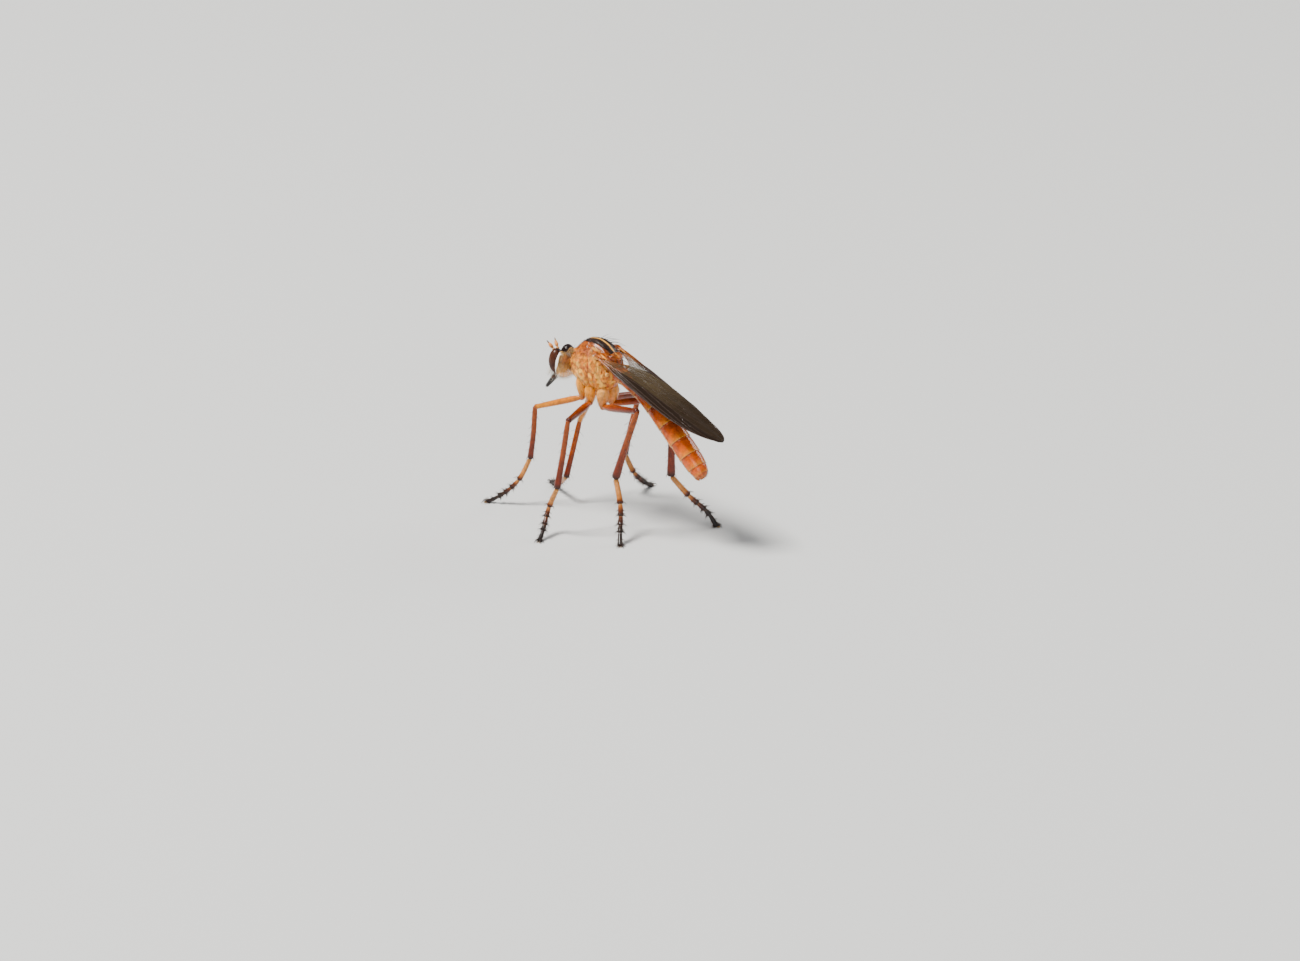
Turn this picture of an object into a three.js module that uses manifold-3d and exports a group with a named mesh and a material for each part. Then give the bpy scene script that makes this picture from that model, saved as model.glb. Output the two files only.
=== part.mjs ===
// A robber fly at life size, standing on its six feet: a still display model.
// Millimetres, +Z up. The fly faces -X, its left side is -Y and its feet stand on Z = 0.
// The body is laid out round the point of the floor under the middle of the thorax, and the
// finished group is moved so that the origin is the middle of the model's footprint.

import * as THREE from "three";
import { mergeVertices } from "three/addons/utils/BufferGeometryUtils.js";
import Module from "manifold-3d";

const wasm = await Module();
wasm.setup();

// ---------- driving dimensions ----------

const GAP = 0.04; // the thin cut between two neighbouring pieces
const LAP = 0.25; // how far a leg piece is made past its joint before the joint is cut
const LIMB_SIDES = 9;
const BODY_SIDES = 20;

const THORAX = {
  // stations from the neck to the waist: x, half width, height of the back, height of the belly
  stations: [
    [-3.65, 0.75, 21.8, 19.5],
    [-3.25, 1.4, 22.8, 18.9],
    [-2.4, 1.9, 23.9, 18.3],
    [-1.2, 2.15, 24.6, 17.9],
    [0.1, 2.2, 24.75, 17.75],
    [1.4, 2.1, 24.4, 17.85],
    [2.5, 1.75, 23.65, 18.5],
    [3.1, 1.25, 22.9, 19.4],
  ],
  squareness: 2.3, // 2 is an ellipse, more is boxier
};

const HEAD = {
  // stations from the face to the back of the head, in the same order
  stations: [
    [-7.15, 0.5, 20.9, 19.3],
    [-6.9, 0.95, 21.4, 18.75],
    [-6.3, 1.6, 21.95, 18.3],
    [-5.6, 2.05, 22.25, 18.2],
    [-5.1, 1.9, 22.15, 18.45],
    [-4.7, 1.35, 21.7, 19.0],
    [-4.5, 0.7, 21.2, 19.7],
  ],
  squareness: 2.25,
};
const EYE = { centre: [-6.3, 1.12, 20.6], radii: [1.0, 1.1, 1.68] };
const NECK = { from: [-5.2, 0, 20.4], to: [-3.2, 0, 20.65], radius: 0.72, rearRadius: 0.83, sides: 14 };
const ANTENNA = { base: [-6.9, 0.2, 21.2], tip: [-8.3, 0.78, 22.88], radius: 0.26 };
const BEAK = { base: [-6.7, 0, 18.75], tip: [-9.0, 0, 16.2], baseRadius: 0.52, tipRadius: 0.25 };
const SCUTELLUM = { centre: [2.85, 0, 22.92], radii: [0.85, 1.15, 0.4], pitch: 22 };
const HALTERE = { root: [2.2, 1.45, 21.35], knob: [3.35, 2.15, 20.9], stalk: 0.25, radius: 0.36 };

const ABDOMEN = {
  // the middle line in the plane Y = 0, from the waist to the tip: x, z
  line: [
    [2.95, 20.85],
    [5.4, 20.0],
    [8.3, 18.5],
    [11.4, 16.05],
    [14.45, 13.25],
    [17.95, 9.65],
  ],
  // radius against the share of the length
  radii: [
    [0, 1.0],
    [0.1, 1.02],
    [0.3, 1.15],
    [0.5, 1.32],
    [0.7, 1.42],
    [0.84, 1.38],
    [0.93, 1.16],
    [0.98, 0.8],
    [1, 0.35],
  ],
  // where one segment ends and the next begins
  joints: [0, 0.09, 0.25, 0.41, 0.56, 0.7, 0.82, 0.92, 1],
  widen: 1.06,
  flatten: 0.95,
  sides: 16,
};

const WING = {
  root: [1.3, 1.75, 23.3],
  hingeEnd: [2.4, 2.1, 22.95],
  hingeRadius: 0.42,
  pitch: 22.7, // degrees that the folded wing slopes down towards its tip
  length: 21.3,
  thickness: 0.5,
  droop: 0.42, // how far the front edge hangs below the middle of the wing
  // share of the length, then how far outwards from the body's middle the front and hind edges lie
  outline: [
    [0, 2.35, 1.55],
    [0.06, 2.6, 1.55],
    [0.13, 2.8, 1.35],
    [0.22, 2.95, -0.5],
    [0.33, 3.02, -1.6],
    [0.48, 3.0, -2.05],
    [0.64, 2.87, -2.1],
    [0.78, 2.55, -1.85],
    [0.88, 2.05, -1.4],
    [0.95, 1.4, -0.9],
    [0.985, 0.75, -0.45],
  ],
  lift: { left: 0.52, right: -0.06 }, // the left wing lies over the right one
};

// Leg joints for one pair: where the coxa enters the thorax, where it ends and segment lengths. The
// girths say how much thicker femur, tibia and foot are than the plain tables, and the swell adds to
// the tibia's lower end.
const PAIRS = {
  front: {
    hip: [-2.4, 1.2, 19.4],
    root: [-1.9, 0.95, 16.5],
    coxaRadii: [0.82, 0.5],
    femur: 7.35,
    tibia: 7.75,
    heel: 3.4,
    girths: [1, 1, 0.95],
    tibiaSwell: 0,
  },
  mid: {
    hip: [-0.5, 1.25, 18.9],
    root: [-0.6, 0.97, 16.05],
    coxaRadii: [0.92, 0.58],
    femur: 7.2,
    tibia: 9.4,
    heel: 3.15,
    girths: [1.12, 1.02, 1.05],
    tibiaSwell: 0.1,
  },
  hind: {
    hip: [1.75, 1.2, 18.9],
    root: [1.4, 0.92, 15.85],
    coxaRadii: [1.02, 0.62],
    femur: 9.25,
    tibia: 11.0,
    heel: 3.5,
    girths: [1.15, 1.08, 1.15],
    tibiaSwell: 0.3,
  },
};

// The pose of each leg. A bearing is in degrees from straight ahead, outwards positive; a rise is
// in degrees above the floor. The heel is the first, long joint of the foot. The foot's end lies a
// reach away from the ankle along a bearing of its own, and the last number is the share of the
// heel's height that is left where the foot has nearly settled.
const POSES = {
  front_left: { femur: [16, -19], tibia: [-22, -79], heel: [50, -62], foot: [34, 5.8, 0.2] },
  mid_left: { femur: [107, -2], tibia: [46, -81], heel: [3, -65], foot: [87, 3.4, 0.2] },
  hind_left: { femur: [161, 13], tibia: [-6, -68], heel: [151, -61], foot: [137, 5.0, 0.2] },
  front_right: { femur: [29, -48], tibia: [-78, -73], heel: [35, -29], foot: [35, 8.1, 0.2] },
  mid_right: { femur: [96, -8], tibia: [1, -74], heel: [106, -64], foot: [91, 5.3, 0.2] },
  hind_right: { femur: [164, 14], tibia: [-38, -88], heel: [143, -49], foot: [141, 6.0, 0.4] },
};

const COXA_SIDES = 10;
const COXA_SWELL = 0.06; // how much fuller a coxa is at mid length than a straight taper

// Limb radii against the share of the segment's length, knees and ankles included.
const FEMUR_RADII = [
  [0, 0.34],
  [0.25, 0.42],
  [0.7, 0.38],
  [1, 0.33],
];
const TIBIA_RADII = [
  [0, 0.36],
  [0.3, 0.36],
  [0.8, 0.38],
  [1, 0.4],
];
const TARSUS = {
  joints: [0, 0.38, 0.55, 0.68, 0.79, 1], // ends of the five foot joints, as shares of the foot
  waist: 0.33,
  knob: 0.38,
  padWidth: 0.42,
  toe: 0.33,
  toeHeight: 0.1, // less than the toe's radius, so that the floor cuts every foot to a flat
  settled: 0.72, // where on the way from the heel to the tip the foot has nearly settled
  sides: 8,
};

// ---------- finishes ----------

const finish = (color, roughness) => new THREE.MeshStandardMaterial({ color, roughness, metalness: 0 });
const ORANGE = finish(0xc8661e, 0.4);
const RUST = finish(0x9a3d12, 0.35);
const TAN = finish(0xc98b45, 0.6);
const DARK = finish(0x1d1512, 0.35);
const EYE_BROWN = finish(0x3a2420, 0.2);
const SMOKE = finish(0x4a3a2a, 0.3);

// ---------- helpers ----------

const V = (p) => new THREE.Vector3(...p);
const mirrored = (p, side) => [p[0], p[1] * side, p[2]];
const radians = THREE.MathUtils.degToRad;

// A value read from rows of [place, value], in a straight line between two rows.
function lookUp(rows, place) {
  const next = rows.findIndex((row) => row[0] >= place);
  if (next <= 0) return next === 0 ? rows[0][1] : rows.at(-1)[1];
  const [a, b] = [rows[next - 1], rows[next]];
  return THREE.MathUtils.mapLinear(place, a[0], b[0], a[1], b[1]);
}

// A closed skin through rings of points that all have the same count, with a fan over each end.
function loft(rings) {
  const count = rings[0].length;
  const points = rings.flat();
  const faces = [];
  for (let r = 0; r + 1 < rings.length; r++) {
    for (let i = 0; i < count; i++) {
      const a = r * count + i;
      const b = r * count + ((i + 1) % count);
      faces.push(a, b, b + count, a, b + count, a + count);
    }
  }
  for (const [ring, start] of [[rings[0], 0], [rings.at(-1), (rings.length - 1) * count]]) {
    const middle = points.length;
    const sum = new THREE.Vector3();
    ring.forEach((p) => sum.add(p));
    points.push(sum.divideScalar(count));
    for (let i = 0; i < count; i++) {
      const [a, b] = [start + i, start + ((i + 1) % count)];
      faces.push(...(start === 0 ? [b, a, middle] : [a, b, middle]));
    }
  }
  const geometry = new THREE.BufferGeometry().setFromPoints(points);
  return geometry.setIndex(faces);
}

// A ring of points round a centre, on a superellipse.
function ring(centre, across, up, halfWidth, halfHeight, sides, squareness = 2) {
  return Array.from({ length: sides }, (_, i) => {
    const turn = (i / sides) * 2 * Math.PI;
    const bend = (v) => Math.sign(v) * Math.abs(v) ** (2 / squareness);
    return centre
      .clone()
      .addScaledVector(across, bend(Math.cos(turn)) * halfWidth)
      .addScaledVector(up, bend(Math.sin(turn)) * halfHeight);
  });
}

// The closed solid of a geometry.
function solid(geometry) {
  const bare = new THREE.BufferGeometry().setAttribute("position", geometry.getAttribute("position"));
  if (geometry.index) bare.setIndex(geometry.index);
  const merged = mergeVertices(bare, 1e-4);
  return new wasm.Manifold(
    new wasm.Mesh({
      numProp: 3,
      vertProperties: merged.attributes.position.array,
      triVerts: new Uint32Array(merged.index.array),
    }),
  );
}

// The geometry of a solid.
function geometryOf(made) {
  const mesh = made.getMesh();
  const geometry = new THREE.BufferGeometry();
  geometry.setAttribute("position", new THREE.BufferAttribute(mesh.vertProperties, 3));
  return geometry.setIndex(new THREE.BufferAttribute(mesh.triVerts, 1));
}

// A geometry with other geometries taken away from it.
function cut(geometry, ...tools) {
  return geometryOf(tools.reduce((rest, tool) => rest.subtract(solid(tool)), solid(geometry)));
}

// Takes away everything on the side of a plane that its normal points to.
function cutByPlane(geometry, point, normal) {
  const size = 60; // more than the whole model
  const block = new THREE.BoxGeometry(size, size, size);
  block.translate(0, 0, size / 2);
  const turn = new THREE.Quaternion().setFromUnitVectors(new THREE.Vector3(0, 0, 1), normal);
  block.applyQuaternion(turn).translate(point.x, point.y, point.z);
  return cut(geometry, block);
}

function ellipsoid(centre, radii, grow = 0, across = 20, down = 12) {
  const ball = new THREE.SphereGeometry(1, across, down);
  ball.rotateX(Math.PI / 2);
  ball.scale(radii[0] + grow, radii[1] + grow, radii[2] + grow);
  return ball.translate(...centre);
}

// A turned limb between two points, with a round end at each joint.
function limb(from, to, radii, sides = LIMB_SIDES) {
  const length = from.distanceTo(to);
  const [r0, r1] = [radii[0][1], radii.at(-1)[1]];
  const arc = (radius, turn) => [radius * Math.sin(radians(turn)), radius * Math.cos(radians(turn))];
  const start = [0, 30, 62].map((turn) => arc(r0, turn)).map(([x, y]) => new THREE.Vector2(x, -y));
  const side = radii.map(([share, radius]) => new THREE.Vector2(radius, share * length));
  const end = [62, 30, 0].map((turn) => arc(r1, turn)).map(([x, y]) => new THREE.Vector2(x, length + y));
  const profile = [...start, ...side, ...end];
  const turned = new THREE.LatheGeometry(profile, sides);
  const direction = to.clone().sub(from).normalize();
  turned.applyQuaternion(new THREE.Quaternion().setFromUnitVectors(new THREE.Vector3(0, 1, 0), direction));
  return turned.translate(from.x, from.y, from.z);
}

const model = new THREE.Group();

function add(name, geometry, material, group = model) {
  const mesh = new THREE.Mesh(geometry, material);
  mesh.name = name;
  group.add(mesh);
}

const SIDES = [["left", -1], ["right", 1]];

// ---------- thorax ----------

// A trunk as a skin over its stations; a grown copy of it cuts the pieces that meet it.
function trunk({ stations, squareness }, grow = 0) {
  const across = V([0, 1, 0]);
  const up = V([0, 0, 1]);
  const shifted = (x, i) => x + (i === 0 ? -grow : i === stations.length - 1 ? grow : 0);
  const rings = stations.map(([x, half, top, bottom], i) => {
    const centre = V([shifted(x, i), 0, (top + bottom) / 2]);
    const reach = (top - bottom) / 2 + grow;
    return ring(centre, across, up, half + grow, reach, BODY_SIDES, squareness);
  });
  return loft(rings);
}

add("thorax", trunk(THORAX), ORANGE);
const thoraxCutter = trunk(THORAX, GAP);

const scutellumBall = new THREE.SphereGeometry(1, 14, 9);
scutellumBall.scale(...SCUTELLUM.radii).rotateY(radians(SCUTELLUM.pitch)).translate(...SCUTELLUM.centre);
add("scutellum", cut(scutellumBall, thoraxCutter), ORANGE);

// ---------- head ----------

// The eyes are whole; they lie in sockets and are parted from each other along the middle.
function eyeShape(side, grow = 0) {
  return ellipsoid(mirrored(EYE.centre, side), EYE.radii, grow, 16, 10);
}

add("head", cut(trunk(HEAD), eyeShape(-1, GAP), eyeShape(1, GAP)), TAN);
for (const [word, side] of SIDES) add(`eye_${word}`, eyeShape(side), EYE_BROWN);

const headCutters = [trunk(HEAD, GAP), eyeShape(-1, GAP), eyeShape(1, GAP)];
const neckTube = limb(V(NECK.from), V(NECK.to), [[0, NECK.radius], [1, NECK.rearRadius]], NECK.sides);
add("neck", cut(neckTube, ...headCutters, thoraxCutter), TAN);

for (const [word, side] of SIDES) {
  const [base, tip] = [V(mirrored(ANTENNA.base, side)), V(mirrored(ANTENNA.tip, side))];
  const feeler = limb(base, tip, [[0, ANTENNA.radius], [1, ANTENNA.radius]]);
  const nearMiddle = V([0, (side * GAP) / 2, 0]);
  const own = cutByPlane(feeler, nearMiddle, V([0, -side, 0]));
  add(`antenna_${word}`, cut(own, ...headCutters), ORANGE);
}

const beak = limb(V(BEAK.base), V(BEAK.tip), [[0, BEAK.baseRadius], [1, BEAK.tipRadius]]);
add("proboscis", cut(beak, ...headCutters), DARK);

// ---------- abdomen ----------

const abdomenLine = new THREE.CatmullRomCurve3(ABDOMEN.line.map(([x, z]) => V([x, 0, z])));

function abdomenRing(share) {
  const centre = abdomenLine.getPointAt(share);
  const along = abdomenLine.getTangentAt(share);
  const across = V([0, 1, 0]);
  const up = along.clone().cross(across);
  const radius = lookUp(ABDOMEN.radii, share);
  return ring(centre, across, up, radius * ABDOMEN.widen, radius * ABDOMEN.flatten, ABDOMEN.sides);
}

const abdomenLength = abdomenLine.getLength();
const halfGap = GAP / 2 / abdomenLength;
const segmentCount = ABDOMEN.joints.length - 1;

for (let i = 0; i < segmentCount; i++) {
  const last = i === segmentCount - 1;
  const [start, end] = [ABDOMEN.joints[i] + halfGap, ABDOMEN.joints[i + 1] - (last ? 0 : halfGap)];
  const places = last ? [0, 0.3, 0.55, 0.78, 0.92, 1] : [0, 0.33, 0.67, 1];
  const rings = places.map((place) => abdomenRing(THREE.MathUtils.lerp(start, end, place)));
  const name = last ? "abdomen_tip" : `abdomen_${i + 1}`;
  const shape = loft(rings);
  add(name, i === 0 ? cut(shape, thoraxCutter) : shape, i < 2 ? ORANGE : RUST);
}

// ---------- wings and halteres ----------

// The folded wing as a plate over a grid: along the wing, and from its front edge to its hind edge.
function wingShape(side, lift) {
  const along = V([Math.cos(radians(WING.pitch)), 0, -Math.sin(radians(WING.pitch))]);
  const up = V([Math.sin(radians(WING.pitch)), 0, Math.cos(radians(WING.pitch))]);
  const base = V([WING.root[0], 0, WING.root[2]]).addScaledVector(up, lift);
  const chord = [0, 0.16, 0.4, 0.7, 1];
  const rings = WING.outline.map(([share, front, hind]) => {
    const spot = (c, face) => {
      const out = THREE.MathUtils.lerp(front, hind, c);
      const hang = WING.droop * Math.max(0, out / 3) ** 2 * Math.min(1, share * 5);
      return base
        .clone()
        .addScaledVector(along, share * WING.length)
        .addScaledVector(V([0, side, 0]), out)
        .addScaledVector(up, face * (WING.thickness / 2) - hang);
    };
    const top = chord.map((c) => spot(c, 1));
    const under = chord.map((c) => spot(c, -1)).reverse();
    const round = [...top, ...under];
    return side < 0 ? round.reverse() : round;
  });
  return loft(rings);
}

for (const [word, side] of SIDES) {
  const root = V(mirrored(WING.root, side));
  const hingeEnd = V(mirrored(WING.hingeEnd, side));
  const blade = solid(wingShape(side, WING.lift[word]));
  const hinge = solid(limb(root, hingeEnd, [[0, WING.hingeRadius], [1, WING.hingeRadius]]));
  const whole = geometryOf(blade.add(hinge));
  const others = word === "left" ? [] : [wingShape(-1, WING.lift.left)];
  add(`wing_${word}`, cut(whole, thoraxCutter, ...others), SMOKE);

  const [from, to] = [V(mirrored(HALTERE.root, side)), V(mirrored(HALTERE.knob, side))];
  const stalk = solid(limb(from, to, [[0, HALTERE.stalk], [1, HALTERE.stalk]]));
  const knob = solid(ellipsoid(to.toArray(), Array(3).fill(HALTERE.radius), 0, 8, 6));
  add(`haltere_${word}`, cut(geometryOf(stalk.add(knob)), thoraxCutter), TAN);
}

// ---------- legs ----------

// A direction from a bearing and a rise, mirrored for the side of the body.
function heading([bearing, rise], side) {
  const [b, r] = [radians(bearing), radians(rise)];
  return V([-Math.cos(b) * Math.cos(r), side * Math.sin(b) * Math.cos(r), Math.sin(r)]);
}

// Cuts a piece at a joint along the plane that halves the bend; before is 1 for the piece that
// comes first along the leg and -1 for the one that follows.
function mitre(geometry, joint, incoming, outgoing, before) {
  const normal = incoming.clone().add(outgoing).normalize().multiplyScalar(before);
  return cutByPlane(geometry, joint.clone().addScaledVector(normal, -GAP / 2), normal);
}

// A foot of five joints, along a bow from the ankle over the heel down to the floor.
function footShape(start, heel, foot, left, girth) {
  const low = heel.clone().lerp(foot, TARSUS.settled);
  low.z = foot.z + (heel.z - foot.z) * left;
  const path = new THREE.CatmullRomCurve3([start, heel, low, foot]);
  const flat = foot.clone().sub(start).setZ(0).normalize();
  const rings = [];
  const addRing = (share, half) => {
    const along = path.getTangentAt(share);
    const across = V([0, 0, 1]).cross(flat).normalize();
    const up = along.clone().cross(across).normalize();
    across.crossVectors(up, along);
    const width = share > TARSUS.joints[4] ? TARSUS.padWidth * (half / TARSUS.knob) : half;
    rings.push(ring(path.getPointAt(share), across, up, width * girth, half * girth, TARSUS.sides));
  };
  addRing(0, TARSUS.waist * 0.8);
  for (let i = 0; i < 5; i++) {
    const [start, end] = [TARSUS.joints[i], TARSUS.joints[i + 1]];
    addRing(THREE.MathUtils.lerp(start, end, 0.25), TARSUS.waist);
    addRing(THREE.MathUtils.lerp(start, end, 0.82), TARSUS.knob);
  }
  addRing(1, TARSUS.toe);
  return cutByPlane(loft(rings), V([0, 0, 0]), V([0, 0, -1]));
}

// The places and directions along one leg, from its pair's lengths and its own pose.
function legLayout(pair, pose, side) {
  const hip = V(mirrored(pair.hip, side));
  const root = V(mirrored(pair.root, side));
  const toRoot = root.clone().sub(hip).normalize();
  const [toKnee, toAnkle, toHeel] = [pose.femur, pose.tibia, pose.heel].map((turn) => heading(turn, side));
  const knee = root.clone().addScaledVector(toKnee, pair.femur);
  const ankle = knee.clone().addScaledVector(toAnkle, pair.tibia);
  const heel = ankle.clone().addScaledVector(toHeel, pair.heel);
  const [bearing, reach] = pose.foot;
  const foot = ankle.clone().addScaledVector(heading([bearing, 0], side), reach).setZ(TARSUS.toeHeight);
  return { hip, root, knee, ankle, heel, foot, toRoot, toKnee, toAnkle, toHeel };
}

function coxaShape({ hip, root, toRoot, toKnee }, [thick, thin]) {
  const belly = (thick + thin) / 2 + COXA_SWELL;
  const whole = limb(hip, root, [[0, thick], [0.5, belly], [1, thin]], COXA_SIDES);
  return mitre(cut(whole, thoraxCutter), root, toRoot, toKnee, 1);
}

function femurShape({ root, knee, toRoot, toKnee, toAnkle }, girth) {
  const whole = limb(root, knee, FEMUR_RADII.map(([share, radius]) => [share, radius * girth]));
  return mitre(mitre(whole, root, toRoot, toKnee, -1), knee, toKnee, toAnkle, 1);
}

function tibiaShape({ knee, ankle, toKnee, toAnkle, toHeel }, girth, swell) {
  const end = ankle.clone().addScaledVector(toAnkle, -LAP);
  const radii = TIBIA_RADII.map(([share, radius]) => [share, radius * girth * (1 + swell * share)]);
  const whole = limb(knee, end, radii);
  return mitre(mitre(whole, knee, toKnee, toAnkle, -1), ankle, toAnkle, toHeel, 1);
}

function tarsusShape({ ankle, heel, foot, toAnkle, toHeel }, left, girth) {
  const start = ankle.clone().addScaledVector(toHeel, -LAP);
  return mitre(footShape(start, heel, foot, left, girth), ankle, toAnkle, toHeel, -1);
}

for (const [pairName, pair] of Object.entries(PAIRS)) {
  for (const [word, side] of SIDES) {
    const pose = POSES[`${pairName}_${word}`];
    const places = legLayout(pair, pose, side);
    const [femurGirth, tibiaGirth, footGirth] = pair.girths;
    const leg = new THREE.Group();
    model.add(leg);
    add(`coxa_${pairName}_${word}`, coxaShape(places, pair.coxaRadii), TAN, leg);
    add(`femur_${pairName}_${word}`, femurShape(places, femurGirth), ORANGE, leg);
    add(`tibia_${pairName}_${word}`, tibiaShape(places, tibiaGirth, pair.tibiaSwell), RUST, leg);
    add(`tarsus_${pairName}_${word}`, tarsusShape(places, pose.foot[2], footGirth), DARK, leg);
  }
}

// ---------- the model's own frame ----------

const box = new THREE.Box3().setFromObject(model);
const middle = box.getCenter(new THREE.Vector3());
model.position.set(-middle.x, -middle.y, 0);

const fly = new THREE.Group();
fly.add(model);

export default fly;
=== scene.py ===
# %% [markdown]
# # An orange robber fly, life size
# A robber fly is a hunting insect with a humped thorax, big eyes with a hollow between them, a stout
# black beak, six long spiny legs, a long tapering abdomen and two smoky wings folded flat over it.
# Its body is no soft skin over bones. It is a shell of stiff plates, glossy in some places and dulled
# by a fine wax dust in others, with bristles that stand in sockets. So each part of the body is made
# here as a closed shell, worked out as a function of two shares: `u` runs along the part and `v` runs
# round it. The same function gives the mesh, and the places and slopes where the hairs grow.

# %% The frame
import bpy
import numpy as np
from mathutils import Matrix, Vector


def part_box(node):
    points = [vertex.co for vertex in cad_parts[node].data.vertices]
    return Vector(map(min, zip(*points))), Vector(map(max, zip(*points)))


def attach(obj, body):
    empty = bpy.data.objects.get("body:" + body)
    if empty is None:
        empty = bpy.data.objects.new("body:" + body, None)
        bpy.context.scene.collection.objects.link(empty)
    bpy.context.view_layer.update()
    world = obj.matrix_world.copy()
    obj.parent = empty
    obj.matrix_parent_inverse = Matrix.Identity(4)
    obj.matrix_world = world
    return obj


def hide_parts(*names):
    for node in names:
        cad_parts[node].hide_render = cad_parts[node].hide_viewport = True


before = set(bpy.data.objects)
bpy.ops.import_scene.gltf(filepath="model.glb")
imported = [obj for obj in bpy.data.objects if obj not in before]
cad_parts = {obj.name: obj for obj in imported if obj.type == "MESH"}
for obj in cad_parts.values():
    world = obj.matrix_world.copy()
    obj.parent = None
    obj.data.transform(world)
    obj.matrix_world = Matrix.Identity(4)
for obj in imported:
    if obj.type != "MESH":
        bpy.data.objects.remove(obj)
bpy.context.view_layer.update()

# %% [markdown]
# ## One set of millimetres
# An insect is easiest to lay out in millimetres, with the middle of its chest near zero. The frame is
# in metres, and its zero is under the middle of the whole fly. The thorax node ties the two together:
# its front end is at a known place in the layout, so one shift carries every point across.

# %% From the layout's millimetres to the frame's metres
MM = 0.001
THORAX_FRONT = -3.65                      # x of the thorax's front end in the layout, mm
thorax_low, thorax_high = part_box("thorax")
SHIFT = np.array([
    thorax_low.x / MM - THORAX_FRONT,
    (thorax_low.y + thorax_high.y) / 2 / MM,
    0.0,
])


def metres(points):
    """Layout millimetres, moved by the shift, as metres in the frame."""
    return (np.asarray(points, float) + SHIFT) * MM


print("shift, mm:", SHIFT.round(3))

# %% [markdown]
# ## The camera
# The fly is small in a wide frame, seen from 40 degrees behind its left side and 20 degrees above the
# floor. A long lens from nearly a metre away keeps the far legs the same size as the near ones. The
# camera aims at the point that lies in the middle of the view, which is up and to the right of the
# fly's own middle.

# %% Camera
AZIMUTH = np.radians(40.3)                # turned from straight in front of the left side
ELEVATION = np.radians(20.0)
FRAME_WIDTH = 171.0                       # mm across the view at the fly
LENS = 180.0                              # mm, on a sensor 36 mm wide
SENSOR = 36.0
AIM_RIGHT, AIM_UP = 6.70, 4.74            # mm from the layout's zero to the view's middle

right = np.array([np.cos(AZIMUTH), np.sin(AZIMUTH), 0.0])
back = np.array([
    np.sin(AZIMUTH) * np.cos(ELEVATION),
    -np.cos(AZIMUTH) * np.cos(ELEVATION),
    np.sin(ELEVATION),
])
up = np.cross(back, right)
distance = FRAME_WIDTH * LENS / SENSOR
aim = right * AIM_RIGHT + up * AIM_UP

camera = bpy.data.objects.new("camera", bpy.data.cameras.new("camera"))
bpy.context.scene.collection.objects.link(camera)
camera.data.lens = LENS
camera.data.sensor_width = SENSOR
camera.data.clip_start = 0.01
camera.data.clip_end = 50.0
turn = Matrix([list(row) for row in np.stack([right, up, back], 1)]).to_4x4()
camera.matrix_world = Matrix.Translation(Vector(metres(aim + back * distance))) @ turn
bpy.context.scene.camera = camera
print("camera:", round(distance), "mm away")

# %% [markdown]
# ## Light
# A glossy shell is drawn by what it mirrors, so the lights are large soft panels. The key stands high
# over the fly's back and to the left, a wide fill faces the camera side, and a low warm panel behind
# lifts the far edge and shines through the wings.

# %% Panels of light
LIGHTS = {   # name: place in metres, size in metres, watts, colour
    "key": ((-0.35, -0.45, 1.15), 0.38, 38.0, (1.0, 0.97, 0.92)),
    "fill": ((1.1, -0.9, 0.55), 0.9, 8.0, (0.93, 0.97, 1.0)),
    "back": ((0.35, 1.25, 0.75), 0.7, 9.0, (1.0, 0.96, 0.9)),
}
for light_name, (place, size, watts, colour) in LIGHTS.items():
    lamp = bpy.data.lights.new(light_name, "AREA")
    lamp.energy = watts
    lamp.size = size
    lamp.color = colour
    panel = bpy.data.objects.new(light_name, lamp)
    bpy.context.scene.collection.objects.link(panel)
    facing = Vector(place).to_track_quat("Z", "Y").to_matrix().to_4x4()
    panel.matrix_world = Matrix.Translation(place) @ facing

world = bpy.data.worlds.new("studio")
world.use_nodes = True
sky = world.node_tree.nodes["Background"].inputs
sky["Color"].default_value = (0.86, 0.89, 0.92, 1)
sky["Strength"].default_value = 0.31
bpy.context.scene.world = world
print("lights:", ", ".join(LIGHTS))

# %% [markdown]
# ## Sums that many shapes share
# Every outline is a short table of stations with a smooth curve through them. A share that eases from
# 0 to 1 makes edges of markings, and a rounded hill makes lobes and grooves.

# %% Small helpers
SIDES = {"left": -1, "right": 1}


def on_side(points, side):
    """Points given for the right side (1), mirrored where they're wanted on the left (-1)."""
    return np.asarray(points, float) * (1, side, 1)


def ease(low, high, x):
    """0 below low, 1 above high, and 3t^2 - 2t^3 between."""
    t = np.clip((x - low) / (high - low), 0, 1)
    return t * t * (3 - 2 * t)


def hill(x, centre, width):
    """exp(-((x - centre) / width)^2): 1 at the centre and near 0 two widths away."""
    return np.exp(-(((x - centre) / width) ** 2))


def through(table, x, free=False):
    """Smooth curve through rows of (x, value, ...), in cubic pieces. Free slopes round a path's bends.
    Held slopes, the harmonic mean of those on either side, never swing past the rows' own values."""
    table = np.asarray(table, float)
    xs, ys = table[:, 0], table[:, 1:]
    if free:
        slopes = np.gradient(ys, xs, axis=0)
    else:
        rise = np.diff(ys, axis=0) / np.diff(xs)[:, None]
        before, after = rise[:-1], rise[1:]
        same_way = before * after > 0
        mean = 2 * before * after / np.where(same_way, before + after, 1)
        slopes = np.concatenate([rise[:1], np.where(same_way, mean, 0), rise[-1:]])
    x = np.clip(np.asarray(x, float), xs[0], xs[-1])
    i = np.clip(np.searchsorted(xs, x, side="right") - 1, 0, len(xs) - 2)
    step = (xs[i + 1] - xs[i])[..., None]
    t = (x - xs[i])[..., None] / step
    return (
        ys[i] * (1 + 2 * t) * (1 - t) ** 2
        + ys[i + 1] * t * t * (3 - 2 * t)
        + slopes[i] * step * t * (1 - t) ** 2
        - slopes[i + 1] * step * t * t * (1 - t)
    )


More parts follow.
